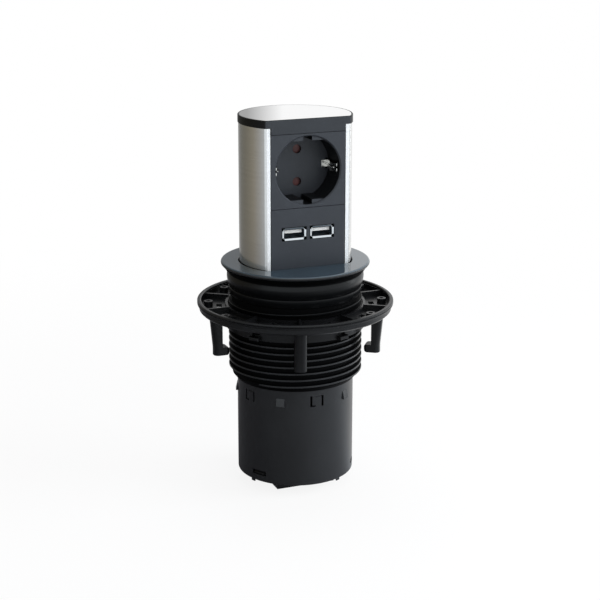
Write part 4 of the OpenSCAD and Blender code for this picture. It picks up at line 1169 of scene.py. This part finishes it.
# brightness of the studio round the object, seen only by reflections, from degrees at the
# front (0) to the right (90), the back (180) and the left (-90)
lowRound = [
    (-180, (0.6, 0.6, 0.62)), (-160, (0.13, 0.13, 0.14)), (-75, (0.06, 0.06, 0.07)),
    (-22, (0.13, 0.13, 0.14)), (18, (0.36, 0.38, 0.41)), (61, (0.55, 0.58, 0.62)),
    (82, (0.85, 0.9, 0.95)), (98, (1, 1, 1)), (180, (1, 1, 1))]
highRound = [
    (-180, (0.4, 0.4, 0.4)), (-166, (0.19, 0.19, 0.175)), (-142, (0.173, 0.163, 0.134)),
    (-126, (0.213, 0.198, 0.158)), (-112, (0.272, 0.248, 0.196)), (-94, (0.37, 0.37, 0.36)),
    (-80, (0.55, 0.58, 0.6)), (-70, (0.88, 0.95, 1)), (60, (0.92, 0.97, 1)),
    (159.2, (1, 1, 1)), (159.7, (0.4, 0.4, 0.4)), (180, (0.4, 0.4, 0.4))]


def roundabout(finish, x, y, stops):
    # a colour by the direction seen from above
    angle = x.join("ARCTAN2", y * -1.0)
    return finish.node("ShaderNodeValToRGB", {0: angle / (2 * pi) + 0.5}, stops=[
        ((bearing + 180) / 360, rgba(colour)) for bearing, colour in stops])


def axes(finish, vector):
    split = finish.node("ShaderNodeSeparateXYZ", {0: vector})
    return [Signal(finish, output) for output in split.socket.node.outputs]


def dull(finish, settings):
    # a surface without gloss
    return finish.node("ShaderNodeBsdfPrincipled", {
        "Roughness": 1.0, "Specular IOR Level": 0.0, **settings})


def makeFloor(size):
    bpy.ops.mesh.primitive_plane_add(size=2 * size["reach"], location=(0, 0, size["floor"] * mm))
    floor = settled("floor")
    material, finish = newFinish("paleFloor")
    camera, glossy = finish.ray("Is Camera Ray"), finish.ray("Is Glossy Ray")
    grain = finish.noise(finish.places(), size["grainScale"], 2)
    matt = dull(finish, {"Base Color": finish.blend(grain, *map(rgba, size["tints"]))})
    x, y, _ = axes(finish, finish.places())
    away = (x * x + y * y).join("SQRT")
    studio = finish.blend(finish.step(away, size["near"], size["far"]),
        roundabout(finish, x, y, lowRound), roundabout(finish, x, y, highRound))
    plain = dull(finish, {
        "Base Color": rgba((0, 0, 0)), "Emission Strength": 1.0,
        "Emission Color": finish.blend(glossy, rgba((1, 1, 1)), studio)})
    least = size["bareLeast"]
    bare = finish.step(away, size["bareNear"], size["bareFar"]) * (1 - least) + least
    mixed = finish.node("ShaderNodeMixShader", {0: camera * bare + glossy, 1: matt, 2: plain})
    finish.node("ShaderNodeOutputMaterial", {"Surface": mixed})
    floor.data.materials.append(material)


def makeWorld(size):
    world = bpy.data.worlds.new("studio")
    world.use_nodes = True
    scene.world = world
    finish = Finish(world.node_tree)
    x, y, _ = axes(finish, finish.node("ShaderNodeTexCoord", {}, "Generated"))
    glossy = finish.ray("Is Glossy Ray")
    plain = finish.blend(glossy, rgba((size["plain"],) * 3), roundabout(finish, x, y, highRound))
    seen = finish.ray("Is Camera Ray").join("MAXIMUM", finish.ray("Is Transmission Ray"))
    colour = finish.blend(seen, plain, rgba((1, 1, 1)))
    light = finish.node("ShaderNodeBackground", {"Color": colour, "Strength": 1.0})
    finish.node("ShaderNodeOutputWorld", {"Surface": light})


lamps = {
    # azimuth from the front, elevation, distance in m, width and height in m, power in W, tint,
    # and whether reflections show it
    "rightSoft": (62, 18, 1.1, 0.7, 0.7, 13.0, (0.93, 0.97, 1.0), False),
    "frontSoft": (12, 32, 1.3, 0.8, 0.8, 5.0, (1.0, 1.0, 1.0), False),
    "topSoft": (150, 70, 1.2, 0.9, 0.9, 6.0, (1.0, 1.0, 1.0), False),
    "rightStrip": (86, -6, 1.1, 0.1, 0.9, 1.1, (0.93, 0.97, 1.0), True),
}


def makeLamps(table):
    for name, (azimuth, elevation, distance, width, height, power, tint, shown) in table.items():
        light = bpy.data.lights.new(name, "AREA")
        light.shape = "RECTANGLE"
        light.size, light.size_y = width, height
        light.energy, light.color = power, tint
        lamp = bpy.data.objects.new(name, light)
        scene.collection.objects.link(lamp)
        turn, rise = radians(azimuth), radians(elevation)
        lamp.location = (distance * sin(turn) * cos(rise),
            -distance * cos(turn) * cos(rise), distance * sin(rise))
        lamp.rotation_euler = (-Vector(lamp.location)).to_track_quat("-Z", "Y").to_euler()
        lamp.visible_glossy, lamp.visible_camera = shown, False


makeFloor(stage)
makeWorld(stage)
makeLamps(lamps)
scene.view_settings.view_transform = "Standard"
print("stage set")
